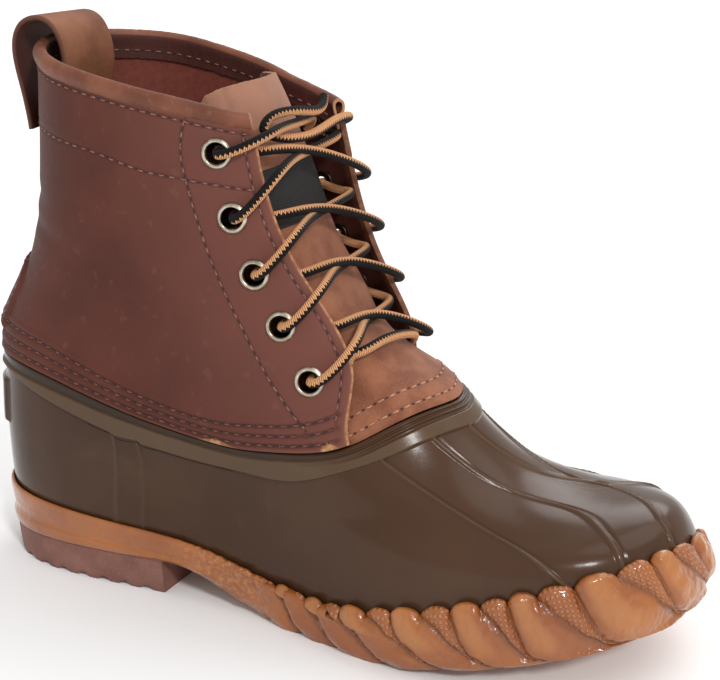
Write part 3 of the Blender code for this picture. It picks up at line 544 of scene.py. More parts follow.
top = spline(*zip(*RIM_TOP), near)
inner_toe = smooth(near / 0.035) * smooth((0.19 - near) / 0.06) * (signed(around) < 0)
top -= INNER_TOE_DROP * inner_toe
crest, _ = strand_height(0.0)
coarse = smooth((near - 0.262) / 0.025) * smooth((0.335 - near) / 0.03)
crumbs = np.array([noise.noise(Vector((u * 160, 0.0, 5.0))) + 0.6 * noise.noise(Vector((u * 420, 2.0, 0.0)))
                   for u in around])
top = rise(around, top, 1.1 * coarse * crumbs - STRAND_DIP * rope * (1 - 0.6 * coarse) * (1 - crest))
zero = np.zeros(SOLE_COLUMNS)
slim = smooth((near - 0.30) / 0.10)
tread_line = outline(around, 1.2 + 0.5 * slim)
tread_line[:, 2] = tread(tread_line[:, 1])
foot_line = outline(around, 3.6 - 1.5 * slim)
side_line = outline(around, 3.3 - 1.0 * slim)
side_line[:, 2] = 0.4 * side_line[:, 2] + 0.6 * tread_line[:, 2]
control = np.stack([off_last(around, top, 0.3 + zero),
                    off_last(around, rise(around, top, 0.3), 1.2 - 0.4 * slim),
                    off_last(around, 0.62 * top, 2.9 - 1.2 * slim), foot_line, side_line, tread_line])
down = np.linspace(0, 1, SOLE_ROWS)
base = spline((0.0, 0.06, 0.36, 0.62, 0.84, 1.0), control, down)
along = np.roll(base, -1, axis=1) - np.roll(base, 1, axis=1)
outward = unit(np.cross(along, np.gradient(base, axis=0)))
outward[..., 2] *= (1 - smooth((down - 0.55) / 0.3))[:, None]
heights, dots = map(np.array, zip(*[strand_height(d) for d in down]))
swell = smooth(down / 0.10) * (1 - 0.25 * smooth((down - 0.30) / 0.45))
plain_rim = 0.7 * smooth(down / 0.12) - 0.7 * hump(down - 0.70, 0.14)
grainy = near < 0.34
lumps = np.zeros_like(heights)
lumps[:, grainy] = [[noise.noise(Vector(p) * 0.23) + 0.55 * noise.noise(Vector(p) * 0.62) for p in row]
                    for row in base[:, grainy]]
toe_flat = 1 - 0.45 * smooth((0.05 - near) / 0.04)
proud = STRAND_PROUD * rope * toe_flat * (1 - 0.8 * coarse) * heights * swell[:, None]
proud += (1 - rope) * plain_rim[:, None]
proud += (1.3 * coarse + 0.6 * rope * (1 - coarse)) * lumps * swell[:, None]
hatch = hump(near - 0.094, 0.012) * hump(down - 0.70, 0.2)[:, None]
rim = base + proud[..., None] * outward
rim[..., 2] = np.maximum(rim[..., 2], tread(rim[..., 1]))
under = []
for share in (0.04, 0.1, 0.2, 0.34, 0.5, 0.68, 0.86, 1.0):
    row = rim[-1] + (0.5 * (rim[-1] + rim[-1][::-1]) - rim[-1]) * share
    row[:, 2] = tread(row[:, 1]) + 2.0 * rope * (1 - heights[-1]) * (1 - share) * smooth(share / 0.1)
    under.append(row)
inside_top = [off_last(around, 0.5 * top, 0.3 + zero), off_last(around, 0.8 * top, 0.3 + zero)]
points = np.concatenate([np.stack(inside_top), rim, np.stack(under)])


def rim_mark(values, above, below_it):
    """Marks of the rim's rows, with a value for the rows hidden behind it and for the underside."""
    values = np.broadcast_to(values, rim.shape[:2])
    return np.concatenate([np.full((len(inside_top), SOLE_COLUMNS), above), values,
                           np.full((len(under), SOLE_COLUMNS), below_it)])


def distance_along(line):
    """Distance of each point of a line from its first point, along the line."""
    return np.append(0, np.cumsum(np.linalg.norm(np.diff(line, axis=0), axis=1)))


run = distance_along(base[RUN_ROW])
run = np.minimum(run, run[-1] - run)
steps = np.linalg.norm(np.diff(base, axis=0), axis=2)
drop = np.append(np.zeros((1, SOLE_COLUMNS)), np.cumsum(steps, axis=0), axis=0)

gum = new_finish("gum_rubber")
cloudy = gum.cloud(30.0, 3.0)
fine = gum.cloud(500.0, 3.0)
dot_along = (gum.mark("run") * (1 / DOT_PITCH)) % 1.0 - 0.5
dot_down = (gum.mark("drop") * (1 / DOT_PITCH)) % 1.0 - 0.5
dot = gum.mark("dotted").between(0.1, 0.5) * (dot_along * dot_along + dot_down * dot_down).between(0.17, 0.03)
tint = cloudy.between(0.3, 0.7).mix(colour(138, 74, 29), colour(161, 94, 38))
# Painted highlight on the strands' crests.
tint = (gum.mark("crest").between(0.75, 1.0) * 0.5).mix(tint, colour(178, 116, 58))
# Painted shade in the valleys between strands, on the hidden rows and on the underside.
tint = (gum.mark("valley").between(0.35, 1.0) * 0.65).mix(tint, colour(96, 48, 20))
tint = (gum.mark("dotted") * 0.5).mix(tint, colour(144, 76, 32))
tint = (dot * 0.45).mix(tint, colour(192, 128, 74))
tint = (gum.mark("coarse") * fine.between(0.45, 0.65) * 0.5).mix(tint, colour(190, 128, 74))
tint = (gum.mark("worn") * fine.between(0.35, 0.65) * 0.4).mix(tint, colour(118, 72, 46))
ripples = gum.cloud(110.0, 3.0)
relief = (ripples * (1 - gum.mark("coarse"))).bump(1.4)
relief = dot.bump(0.40, (gum.mark("coarse") * fine).bump(0.8, relief))
gum_rubber = gum.surface({"Base Color": tint, "Normal": relief, "Specular IOR Level": 0.45,
                          "Roughness": 0.26 + 0.12 * cloudy + 0.15 * gum.mark("dotted"),
                          "Coat Weight": 0.5, "Coat Roughness": 0.08})
add_piece("gum_outsole", points, grid_faces(len(points), SOLE_COLUMNS, True), gum_rubber, "gum_rubber",
          ["outsole"], dotted=rim_mark(np.clip(dots + 0.8 * hatch, 0, 1) * rope * (1 - coarse), 0, 0),
          # painted shade in the valleys
          valley=rim_mark(rope * (1 - heights) * (1 - 0.7 * coarse), 0.2, 0.3),
          # painted highlight on the strands' crests
          crest=rim_mark(rope * heights * swell[:, None] * (1 - coarse), 0, 0),
          coarse=rim_mark(coarse, 0, 0.4), worn=rim_mark(smooth((down - 0.85) / 0.15)[:, None], 0, 1),
          run=rim_mark(run, 0, 0), drop=rim_mark(drop, 0, 0))

# Heel lift
# A separate block of dusty red-brown rubber glued under the heel seat, with rounded ribs across its
# underside that show as scallops along its lower edge.
LIFT_COLUMNS = 240
BREAST_COLUMNS = 60
LIFT_ROWS = 26
LIFT_OUT = 1.6
LIFT_GAP = 0.2
LIFT_START = 60.0
RIB_COUNT = 9
GROOVE_START = 59.0
GROOVE_RADIUS = 3.6
GROOVE_DEPTH = 1.6
stations = np.linspace(0, 1, 801)
behind = stations[outline(stations, np.full(len(stations), LIFT_OUT))[:, 1] > LIFT_START]
around = np.linspace(behind[0], behind[-1], LIFT_COLUMNS)
back_end = outline(around, np.full(LIFT_COLUMNS, LIFT_OUT))[:, 1].max()


def rib_floor(y):
    """Underside of the lift: flat ribs with round grooves between them."""
    pitch = (back_end - HEEL_BREAST) / RIB_COUNT
    place = (y - GROOVE_START) / pitch
    away = np.abs((place + 0.5) % 1.0 - 0.5) * pitch
    groove = GROOVE_DEPTH - GROOVE_RADIUS + np.sqrt(np.clip(GROOVE_RADIUS ** 2 - away ** 2, 0, None))
    inside = (place > 0.5) & (place < RIB_COUNT - 0.5)
    return np.where(inside, np.clip(groove, 0, None), 0.0)


lift_rows = []
for share in np.linspace(0, 1, LIFT_ROWS):
    loop = outline(around, np.full(LIFT_COLUMNS, 1.7 - 1.1 * share - 0.5 * (2 * share - 1) ** 8))
    breast = loop[-1] + (loop[0] - loop[-1]) * np.linspace(0.02, 0.98, BREAST_COLUMNS)[:, None]
    loop = np.concatenate([loop, breast])
    lift_top = HEEL_LIFT - LIFT_GAP
    loop[:, 2] = lift_top + (rib_floor(loop[:, 1]) - lift_top) * share
    lift_rows.append(loop)
opposite = np.concatenate([np.arange(LIFT_COLUMNS)[::-1],
                           np.arange(LIFT_COLUMNS, LIFT_COLUMNS + BREAST_COLUMNS)[::-1]])
lower_edge = lift_rows[-1]
for share in (0.02, 0.05, 0.15, 0.4, 0.7, 1.0):
    loop = lower_edge + (0.5 * (lower_edge + lower_edge[opposite]) - lower_edge) * share
    loop[:, 2] = rib_floor(loop[:, 1])
    lift_rows.append(loop)
heel = new_finish("heel_rubber")
dust = heel.cloud(60.0, 6.0)
fine = heel.cloud(700.0, 3.0)
tint = dust.between(0.3, 0.7).mix(colour(106, 66, 56), colour(132, 89, 77))
tint = (fine.between(0.5, 0.8) * 0.25).mix(tint, colour(164, 124, 108))
tint = heel.mark("low").mix(tint, colour(90, 56, 48))
heel_rubber = heel.surface({"Base Color": tint, "Roughness": 0.55 + 0.2 * dust,
                            "Normal": fine.bump(0.12, dust.bump(0.2))})
add_piece("heel_block", np.stack(lift_rows), grid_faces(len(lift_rows), LIFT_COLUMNS + BREAST_COLUMNS, True),
          heel_rubber, "heel_rubber", ["heel_lift"], sharp=0.9,
          low=np.repeat(smooth((np.arange(len(lift_rows)) - 21) / 6) * 0.5, LIFT_COLUMNS + BREAST_COLUMNS))

# Insole
# A felt board laid in the rubber bottom. Only its top is seen, deep inside the boot, so the CAD solid
# stays and gets a matted wool finish.
felt = new_finish("felt")
hairs = felt.cloud(900.0, 4.0)
matted = felt.cloud(120.0, 4.0)
tint = hairs.between(0.3, 0.7).mix(colour(98, 84, 70), colour(150, 132, 112))
tint = (matted.between(0.45, 0.75) * 0.4).mix(tint, colour(84, 70, 58))
felt.surface({"Base Color": tint, "Roughness": 0.9 + 0.08 * matted, "Normal": hairs.bump(0.5)})
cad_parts["insole"].data.materials.clear()
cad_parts["insole"].data.materials.append(felt.material)

# Vamp and tongue
# One piece of soft brushed leather. It is sewn inside the rubber's front edge with two rows of pale
# thread, and goes up between the flaps to a raw cut edge at the top.
# height, distance set back from the last, shares of the last's width and of its curve kept
TONGUE_ROWS = ((0.0, 0.0, 1.0, 1.0), (0.045, 1.5, 1.0, 1.0), (0.09, 6.2, 0.97, 0.98),
               (0.14, 11.2, 0.95, 0.92), (0.2, 14.8, 0.94, 0.70), (0.3, 15.2, 0.95, 0.40),
               (0.45, 14.6, 0.94, 0.32), (0.6, 14.4, 0.93, 0.34), (0.75, 15.2, 0.88, 0.42),
               (0.9, 17.5, 0.78, 0.5), (1.0, 20.0, 0.70, 0.52))
TONGUE_BACKWARD = np.array((0.0, 0.95, -0.30))
TONGUE_TOP = 9.6
TONGUE_HALF = 0.15
TONGUE_WALL = 1.8


def tongue(across, level, out=0.0):
    """Points on the tongue; across goes -1 to 1, level 0 at the rubber to 1 at the top."""
    across, level = np.broadcast_arrays(np.asarray(across, float), np.asarray(level, float))
    around = TONGUE_HALF * across
    centre = 0 * across
    levels, backs, widths, curves = zip(*TONGUE_ROWS)
    width, curve = [spline(levels, shares, level)[..., None] for shares in (widths, curves)]
    corner = np.where(across > 0, 0.11, 0.05) * across ** 2 + 0.02 * smooth((np.abs(across) - 0.9) / 0.1)

    def high(place, share):
        foot = rise(place, rubber_edge(place), 0.8)
        return foot + (TONGUE_TOP - foot) * share

    height = high(around, level * (1 - corner))
    point = off_last(around, height, 0.6 - 2.7 * smooth((np.abs(around) - 0.07) / 0.03))
    middle = off_last(centre, high(centre, level), 0.6 + centre)
    point = middle + (point - middle) * np.concatenate([width, curve, curve], axis=-1)
    outward = unit(last_normal(around, height) * curve - TONGUE_BACKWARD * (1 - curve))
    back = spline(levels, backs, level)[..., None]
    return point + back * TONGUE_BACKWARD + np.asarray(out, float)[..., None] * outward


TONGUE_COLUMNS = 130
across = np.linspace(-1, 1, TONGUE_COLUMNS)
level = np.concatenate([np.linspace(0, 0.25, 56)[:-1], np.linspace(0.25, 1, 96)])[:, None]
frayed = np.array([noise.noise(Vector((a * 14, 3.1, 0))) + 0.6 * noise.noise(Vector((a * 60, 1.7, 0)))
                   for a in across])
level = level + 0.002 * frayed * smooth((level - 0.93) / 0.07)
# Soft folds: place across, level, half length in level, half width across, depth
folds = ((-0.45, 0.75, 0.5, 0.4, 0.7), (0.12, 0.17, 0.07, 0.5, 1.0), (-0.1, 0.23, 0.05, 0.6, -0.9),
         (0.05, 0.31, 0.05, 0.6, 0.6))


def fold_height(across, level):
    """How far the soft folds stand out of the tongue's face."""
    return sum(depth * hump(across - fold_across, half_width) * hump(level - fold_level, half_length)
               for fold_across, fold_level, half_length, half_width, depth in folds)


puff = fold_height(across, level)
face = tongue(across, level, puff)
rear = tongue(across, level, puff - TONGUE_WALL)[:, ::-1]
cap = tongue(across, level[-1:] + 0.001, puff[-1:] - 0.5 * TONGUE_WALL)
points = np.concatenate([face, rear], axis=1)
points = np.concatenate([points, np.concatenate([cap, cap[:, ::-1]], axis=1)])
raw = np.zeros(points.shape[:2])
raw[-3:] = 1.0
raw[:, [0, TONGUE_COLUMNS - 1, TONGUE_COLUMNS, -1]] = 0.8
high = np.broadcast_to(smooth((np.append(level[:, 0], 1.0) - 0.7) / 0.2)[:, None], points.shape[:2])

brushed = new_finish("brushed_leather")
nap = brushed.cloud(1300.0, 4.0)
brushing = brushed.cloud(90.0, 5.0)
tint = brushing.between(0.3, 0.7).mix(colour(118, 69, 48), colour(146, 92, 65))
tint = (nap.between(0.5, 0.8) * 0.35).mix(tint, colour(172, 126, 100))
tint = (brushed.mark("high") * 0.6).mix(tint, colour(168, 124, 104))
tint = brushed.mark("raw").mix(tint, colour(156, 111, 85))
brushed_leather = brushed.surface({"Base Color": tint, "Roughness": 0.62 + 0.2 * nap, "Sheen Weight": 0.1,
                                   "Specular IOR Level": 0.25,
                                   "Normal": nap.bump(0.10, brushing.bump(0.35))})
add_piece("vamp_tongue", points, grid_faces(*points.shape[:2], True), brushed_leather, "trim_leather",
          ["tongue"], sharp=0.9, raw=raw, high=high)

# Tongue patch
# A plain patch woven from black yarn, with its edges turned down.
# It is sewn flat on the tongue, under the lacing.
PATCH_LIFT = 0.75
PATCH_EDGE_LIFT = -0.1
PATCH_POINTS = 60
PATCH_ACROSS = np.linspace(-0.9, 0.62, PATCH_POINTS)
PATCH_LEVEL = np.linspace(0.555, 0.735, PATCH_POINTS)[:, None]
patch_lift = np.full((PATCH_POINTS, PATCH_POINTS), PATCH_EDGE_LIFT)
patch_lift[1:-1, 1:-1] = PATCH_LIFT
points = tongue(PATCH_ACROSS, PATCH_LEVEL, fold_height(PATCH_ACROSS, PATCH_LEVEL) + patch_lift)
woven = new_finish("woven_patch")
weave = woven.node("TexWave", {"wave_type": "BANDS", "bands_direction": "Z"},
                   {"Vector": woven.place(), "Scale": 330.0, "Distortion": 1.5, "Detail": 1.0})
lint = woven.cloud(700.0, 3.0)
tint = weave.mix(colour(20, 18, 18), colour(30, 27, 27))
tint = (lint.between(0.6, 0.8) * 0.2).mix(tint, colour(70, 64, 62))
black_weave = woven.surface({"Base Color": tint, "Roughness": 0.7 + 0.2 * lint, "Normal": weave.bump(0.12)})
add_piece("tongue_patch", points, grid_faces(PATCH_POINTS, PATCH_POINTS), black_weave, "trim_leather")

# Leather shaft
# Two quarters and a backstay of oiled brown leather, 2 mm thick with raw cut edges, open at the throat.
# It is sewn to the rubber's lip with three rows of thread; the eyelet facings are a second layer.
LEATHER_OUT = 0.8
LEATHER_IN = 1.2
LEATHER_FOOT_GAP = 0.9
# around, height in sections of the shaft's top edge, which dips at the throat
COLLAR_LINE = ((0.094, 8.82), (0.154, 8.87), (0.25, 8.90), (0.364, 8.94), (0.45, 8.96), (0.56, 9.02),
               (0.65, 9.06), (0.735, 9.03), (0.81, 8.96), (0.86, 8.85), (0.906, 8.69))
# height in the flap, 0 at its foot and 1 at the collar, and its front edge around the boot
FLAP_EDGE = ((0.0, 0.140), (0.05, 0.131), (0.1, 0.117), (0.17, 0.098), (0.23, 0.091),
             (0.5, 0.091), (0.8, 0.095), (1.0, 0.094))
# The open flaps stand away from the last: height in sections, share of the most
FLARE_RISE = ((5.6, 0.0), (6.4, 0.25), (7.2, 0.75), (8.0, 1.0), (9.0, 0.8))
FLARE_MOST = (3.0, 9.0)
EYELET_ROWS = (8.48, 7.67, 6.92, 6.21, 5.52)
EYELET_AROUND = 0.141
EYELET_HOLE = 4.6
# How far through the leather an eyelet's hole is cut
EYELET_REACH = 9.0
# Rough sizes that turn shares round the shaft and up it into millimetres
SHAFT_GIRTH = 300.0
SHAFT_RISE = 130.0


def leather(around, height, out=0.0):
    """Points off the shaft's middle surface."""
    around = np.asarray(around, float)
    wide = smooth((0.175 - from_front(around)) / 0.085)
    most = np.where(around % 1.0 > 0.5, FLARE_MOST[1], FLARE_MOST[0])
    high = np.clip(height, FLARE_RISE[0][0], FLARE_RISE[-1][0])
    flare = most * wide * np.clip(spline(*zip(*FLARE_RISE), high), 0, 1)
    return off_last(around, height, flare + out)


def leather_normal(around, height):
    return facing_out(leather, around, height)


def leather_foot(around):
    return rise(around, rubber_edge(around), LEATHER_FOOT_GAP)


def collar(around):
    return spline(*zip(*COLLAR_LINE), around)


def flap_edge(level):
    return spline(*zip(*FLAP_EDGE), level)


def both_sides(around, height):
    """A row of places on the outer side and its mirror on the inner side."""
    return [(around, height), (1 - around, height)]


def line_through(*knots):
    """Places along a smooth line through knots of around and height."""
    knots = np.array(knots)
    return spline(np.arange(len(knots)), knots, np.linspace(0, len(knots) - 1, 240)).T


def foot_row(distance, start):
    """A row of places round the foot of the shaft, a distance above its edge."""
    around = np.linspace(start, 1 - start, 500)
    return around, rise(around, leather_foot(around), distance)


def front_row(distance, low, high):
    """A row of places along a flap's front edge, a distance behind it."""
    level = np.linspace(low, high, 240)
    around = flap_edge(level)
    height = leather_foot(around) + (collar(around) - leather_foot(around)) * level
    return around + distance / stretch(around, height), height


seam_back = np.linspace(0.106, 0.894, 500)
seam_height = np.interp(from_front(seam_back), (0.106, 0.146, 0.242, 0.317, 0.5),
                        (8.05, 8.07, 8.07, 8.18, 8.24))
foot_rows = [foot_row(3.2, 0.147), foot_row(7.8, 0.140), foot_row(12.4, 0.131)]
facing_line = line_through((0.172, 8.86), (0.177, 8.75), (0.185, 8.45), (0.186, 8.07), (0.184, 7.3),
                           (0.183, 6.5), (0.178, 5.65), (0.171, 5.05), (0.168, 4.86))
panel_rows = both_sides(*facing_line) + both_sides(*front_row(4.4, 0.05, 0.985)) + [(seam_back, seam_height)]
collar_back = np.linspace(0.10, 0.90, 500)
collar_row = (collar_back, rise(collar_back, collar(collar_back), -2.2))
backstay = both_sides(*line_through((0.448, 4.95), (0.446, 5.4), (0.448, 5.8), (0.462, 6.08), (0.5, 6.12)))

SHAFT_COLUMNS = 480
SHAFT_LEVELS = np.concatenate([np.linspace(0, 0.2, 46)[:-1], np.linspace(0.2, 1, 122)])[:, None]
share = np.linspace(0, 1, SHAFT_COLUMNS)
around = flap_edge(SHAFT_LEVELS) + (1 - 2 * flap_edge(SHAFT_LEVELS)) * share
height = leather_foot(around) + (collar(around) - leather_foot(around)) * SHAFT_LEVELS
skin = leather(around, height, LEATHER_OUT)


def distance_to(rows):
    """How far each point of the shaft's face is from the nearest of some rows."""
    line = np.concatenate([leather(*row, LEATHER_OUT) for row in rows])
    tree = KDTree(len(line))
    for k, point in enumerate(line):
        tree.insert(point, k)
    tree.balance()
    flat = skin.reshape(-1, 3)
    return np.array([tree.find(point)[2] for point in flat]).reshape(skin.shape[:2])


to_foot_row = distance_to(foot_rows)
to_panel_row = distance_to(panel_rows)
to_collar_row = distance_to([collar_row])
to_backstay = distance_to(backstay)
near = from_front(around)
facing = smooth((np.interp(height, facing_line[1][::-1], facing_line[0][::-1]) + 0.004 - near) / 0.003)
upper = smooth((height - np.interp(near, (0.106, 0.242, 0.317, 0.5), (8.05, 8.07, 8.18, 8.24)) - 0.05) / 0.03)
counter = smooth((np.interp(height, (4.6, 5.2, 5.8, 6.15, 6.22), (0.056, 0.058, 0.056, 0.046, 0.0))
                  + 0.004 - np.abs(around - 0.5)) / 0.003) * smooth((height - 4.85) / 0.15)
waves = np.array([noise.noise(Vector(p) * 0.022) + 0.4 * noise.noise(Vector(p) * 0.06)
                  for p in skin.reshape(-1, 3)]).reshape(near.shape)
# Creases at the ankle: around, height, half length around, half width in height, depth
creases = ((0.30, 6.6, 0.10, 0.35, 0.7), (0.26, 7.25, 0.08, 0.30, -0.5), (0.42, 6.9, 0.07, 0.22, 0.8),
           (0.45, 7.35, 0.06, 0.20, 0.6), (0.70, 6.7, 0.10, 0.35, 0.7), (0.58, 7.05, 0.07, 0.22, 0.8),
           (0.22, 5.9, 0.06, 0.30, -0.5), (0.78, 5.9, 0.06, 0.30, 0.5))
folds_in = np.zeros_like(near)
for place, level, half_length, half_width, depth in creases:
    slant = 1.2 * (around - place)
    folds_in += depth * hump(around - place, half_length) * hump(height - level - slant, half_width)
# Grooves that the stitches pull in: distance to the row, depth, half width
grooves = ((to_foot_row, 0.42, 1.3), (to_panel_row, 0.36, 1.1), (to_collar_row, 0.3, 1.1),
           (to_backstay, 0.36, 1.1))
groove = sum(depth * hump(distance, half_width) for distance, depth, half_width in grooves)
pillow = 0.35 * hump(to_foot_row - 2.3, 2.0)
over = 0.25 * waves + 0.5 * facing + 1.5 * counter + 0.25 * upper - groove - folds_in + pillow
edge_round = smooth(np.minimum(share, share[::-1]) * SHAFT_GIRTH / 0.8)
over = over - 0.35 * (1 - edge_round) - 0.35 * (1 - smooth(SHAFT_LEVELS / 0.008))
skin = skin + over[..., None] * leather_normal(around, height)
cut_foot = leather(around[:1], height[:1], -LEATHER_IN + 0 * near[:1])
skin = np.concatenate([cut_foot, skin])
inner_columns = np.linspace(SHAFT_COLUMNS - 1, 0, 80).astype(int)
lining_wave = 0.8 * waves[:, inner_columns] - folds_in[:, inner_columns]
lining = leather(around[:, inner_columns], height[:, inner_columns], -LEATHER_IN + lining_wave * 0.6)
lining = np.concatenate([lining[:1], lining])
points = np.concatenate([skin, lining], axis=1)
rows, columns = points.shape[:2]


def shaft_mark(values, lining_value, foot_value):
    """Marks of the shaft's face with a value for its inside and for its lower cut edge."""
    marks = np.concatenate([np.full((1, SHAFT_COLUMNS), foot_value), values])
    return np.concatenate([marks, np.full((rows, len(inner_columns)), lining_value)], axis=1)


eyelets = []
for side_name, sign in (("outer", 1), ("inner", -1)):
    for row, eyelet_height in enumerate(EYELET_ROWS, start=1):
        place_around = (sign * EYELET_AROUND) % 1.0
        eyelets.append((f"eyelet_{side_name}_{row}", leather(place_around, eyelet_height, LEATHER_OUT),
                        facing_out(leather, place_around, eyelet_height, 0.01)))
faces = grid_faces(rows, columns, True)
middles = points.reshape(-1, 3)[faces].mean(axis=1)
kept_faces = np.ones(len(faces), bool)
for _, place, outward in eyelets:
    away = middles - place
    through = away @ outward
    from_axis = np.linalg.norm(away - through[:, None] * outward, axis=1)
    kept_faces &= (from_axis > EYELET_HOLE) | (np.abs(through) > EYELET_REACH)

oiled = new_finish("oiled_leather")
mottle = oiled.cloud(26.0, 5.0)
pores = oiled.cells(1250.0)
fibre = oiled.cloud(420.0, 4.0)
wax = oiled.cloud(9.0, 2.0)
tint = mottle.between(0.28, 0.72).mix(colour(76, 39, 31), colour(91, 49, 39))
tint = (wax.between(0.45, 0.75) * 0.2).mix(tint, colour(106, 62, 51))
tint = (fibre.between(0.62, 0.82) * 0.15).mix(tint, colour(126, 80, 66))
tint = (oiled.cloud(170.0, 6.0).between(0.60, 0.72) * 0.2).mix(tint, colour(128, 84, 70))
tint = (oiled.mark("rubbed") * 0.6).mix(tint, colour(122, 76, 66))
tint = (oiled.mark("seam") * 0.45).mix(tint, colour(58, 30, 26))
tint = (oiled.mark("wear") * 0.4).mix(tint, colour(130, 86, 66))
tint = oiled.mark("lining").mix(tint, fibre.mix(colour(102, 49, 41), colour(134, 74, 61)))
tint = (oiled.mark("shade") * 0.8).mix(tint, colour(34, 17, 14))
cut_tint = fibre.between(0.35, 0.7).mix(colour(140, 92, 64), colour(184, 136, 98))
tint = oiled.mark("cut").mix(tint, cut_tint)
grain = (1 - pores).bump(0.05, fibre.bump(0.10, mottle.bump(0.25)))
shaft_leather = oiled.surface({"Base Color": tint, "Roughness": 0.46 + 0.16 * mottle + 0.1 * fibre,
                               "Normal": grain, "Specular IOR Level": 0.16})
to_edge = np.minimum(share, share[::-1]) * SHAFT_GIRTH + 0 * near
cut = np.where(to_edge < 1.0, np.where(share < 0.5, 1.0, 0.3), 0.0) * smooth((0.97 - SHAFT_LEVELS) / 0.02)
# Two torn places along the foot: around, half length
for place, half_length in ((0.266, 0.020), (0.158, 0.011)):
    torn = hump(near - place, half_length) * (1.6 + waves) * (around < 0.5)
    cut = np.maximum(cut, smooth((2.6 * torn - SHAFT_LEVELS * SHAFT_RISE) / 0.6))
cut = shaft_mark(cut, 0, 1)
shade = smooth((0.25 - near[:, inner_columns]) / 0.1)
shade = np.concatenate([np.zeros((rows, SHAFT_COLUMNS)), np.concatenate([shade[:1], shade])], axis=1)
cut[:, SHAFT_COLUMNS] = 0.3
cut[:, -1] = 1.0
wear = np.clip(hump(to_edge, 3.0) + hump(SHAFT_LEVELS * SHAFT_RISE, 2.0), 0, 1)
seam = np.clip(hump(to_foot_row, 1.2) + hump(to_panel_row, 1.0) + hump(to_collar_row, 1.0)
               + hump(to_backstay, 1.0), 0, 1)
add_piece("leather_quarters", points, faces[kept_faces], shaft_leather, "shaft_leather", ["leather_shaft"],
          sharp=0.9, cut=cut, wear=shaft_mark(wear, 0, 0), seam=shaft_mark(seam, 0, 0),
          lining=shaft_mark(0 * near, 1, 0), shade=shade,
          rubbed=shaft_mark(smooth((0.32 - near) / 0.22), 0, 0))

# Stitching
# Lock stitches of waxed thread lying in the grooves that they pull into the leather. The rows along the
# foot are thicker and further apart than the panel rows, and the rows on the vamp are longer and paler.


def sew(name, rows, pitch, length, radius, finish, slot):
    """A mesh of separate stitches along rows of points, with a dark disc between them as painted shade in the
    needle hole.
    """
    sides, rings = 6, 7
    turn = np.linspace(0, 2 * np.pi, sides, endpoint=False)
    along = np.linspace(-0.5, 0.5, rings)
    thick = np.sqrt(np.clip(1 - (2 * np.abs(along)) ** 4, 0.02, None))
    stitch = np.stack([np.broadcast_to(along[:, None] * length, (rings, sides)),
                       radius * thick[:, None] * np.cos(turn),
                       radius * thick[:, None] * np.sin(turn) - 0.9 * radius * (2 * along[:, None]) ** 4],
                      axis=-1)
    # A flat disc at each needle hole; the hole mark paints it dark as the hole's shade.
    hole = np.stack([0.36 * (pitch - length) * np.cos(turn) + pitch / 2, 1.1 * radius * np.sin(turn),
                     0 * turn + 0.1], axis=-1)
    template = np.concatenate([stitch.reshape(-1, 3), hole])
    hole_faces = np.array([(0, 1, 2, 3), (0, 3, 4, 5)]) + rings * sides
    stitch_faces = np.concatenate([grid_faces(rings, sides, True), hole_faces])
    points, faces = [], []
    for line, outward in rows:
        steps = distance_along(line)
        stops = np.arange(pitch / 2, steps[-1], pitch)

        def at(places, values):
            return np.stack([np.interp(places, steps, values[:, k]) for k in range(3)], axis=1)

        normal = unit(at(stops, outward))
        run = unit(at(stops + 0.5, line) - at(stops - 0.5, line))
        axes = np.stack([run, np.cross(normal, run), normal], axis=1)
        start = sum(len(p) for p in points)
        points.append((at(stops, line)[:, None] + np.einsum("pk,nkd->npd", template, axes)).reshape(-1, 3))
        first = start + len(template) * np.arange(len(stops))
        faces.append((stitch_faces + first[:, None, None]).reshape(-1, 4))
    points = np.concatenate(points)
    dark = np.tile(np.repeat((0.0, 1.0), (rings * sides, sides)), len(points) // len(template))
    return add_piece(name, points, np.concatenate(faces), finish, slot, hole=dark)


def on_leather(row, lift):
    """A row's points on the leather as its grooves and folds lie, and their outward directions."""
    around, height = row
    level = (height - leather_foot(around)) / (collar(around) - leather_foot(around))
    r = np.interp(level, SHAFT_LEVELS[:, 0], np.arange(len(SHAFT_LEVELS)))
    c = np.clip((around - flap_edge(level)) / (1 - 2 * flap_edge(level)), 0, 1) * (SHAFT_COLUMNS - 1)
    low_r, low_c = [np.minimum(place.astype(int), over.shape[axis] - 2) for axis, place in enumerate((r, c))]
    part_r, part_c = r - low_r, c - low_c
    out = ((1 - part_r) * ((1 - part_c) * over[low_r, low_c] + part_c * over[low_r, low_c + 1])
           + part_r * ((1 - part_c) * over[low_r + 1, low_c] + part_c * over[low_r + 1, low_c + 1]))
    outward = leather_normal(around, height)
    return leather(around, height, LEATHER_OUT) + (out + lift)[:, None] * outward, outward


def thread_finish(name, dark, light):
    thread = new_finish(name)
    ply = thread.cloud(1500.0, 2.0)
    twist = thread.node("TexWave", {"wave_type": "BANDS", "bands_direction": "DIAGONAL"},
                        {"Vector": thread.place(), "Scale": 420.0, "Distortion": 0.5})
    # Painted shade: the needle-hole discs are dark.
    tint = thread.mark("hole").mix(ply.between(0.3, 0.7).mix(dark, light), colour(44, 22, 19))
    return thread.surface({"Base Color": tint, "Roughness": 0.5 + 0.25 * ply, "Normal": twist.bump(0.12)})


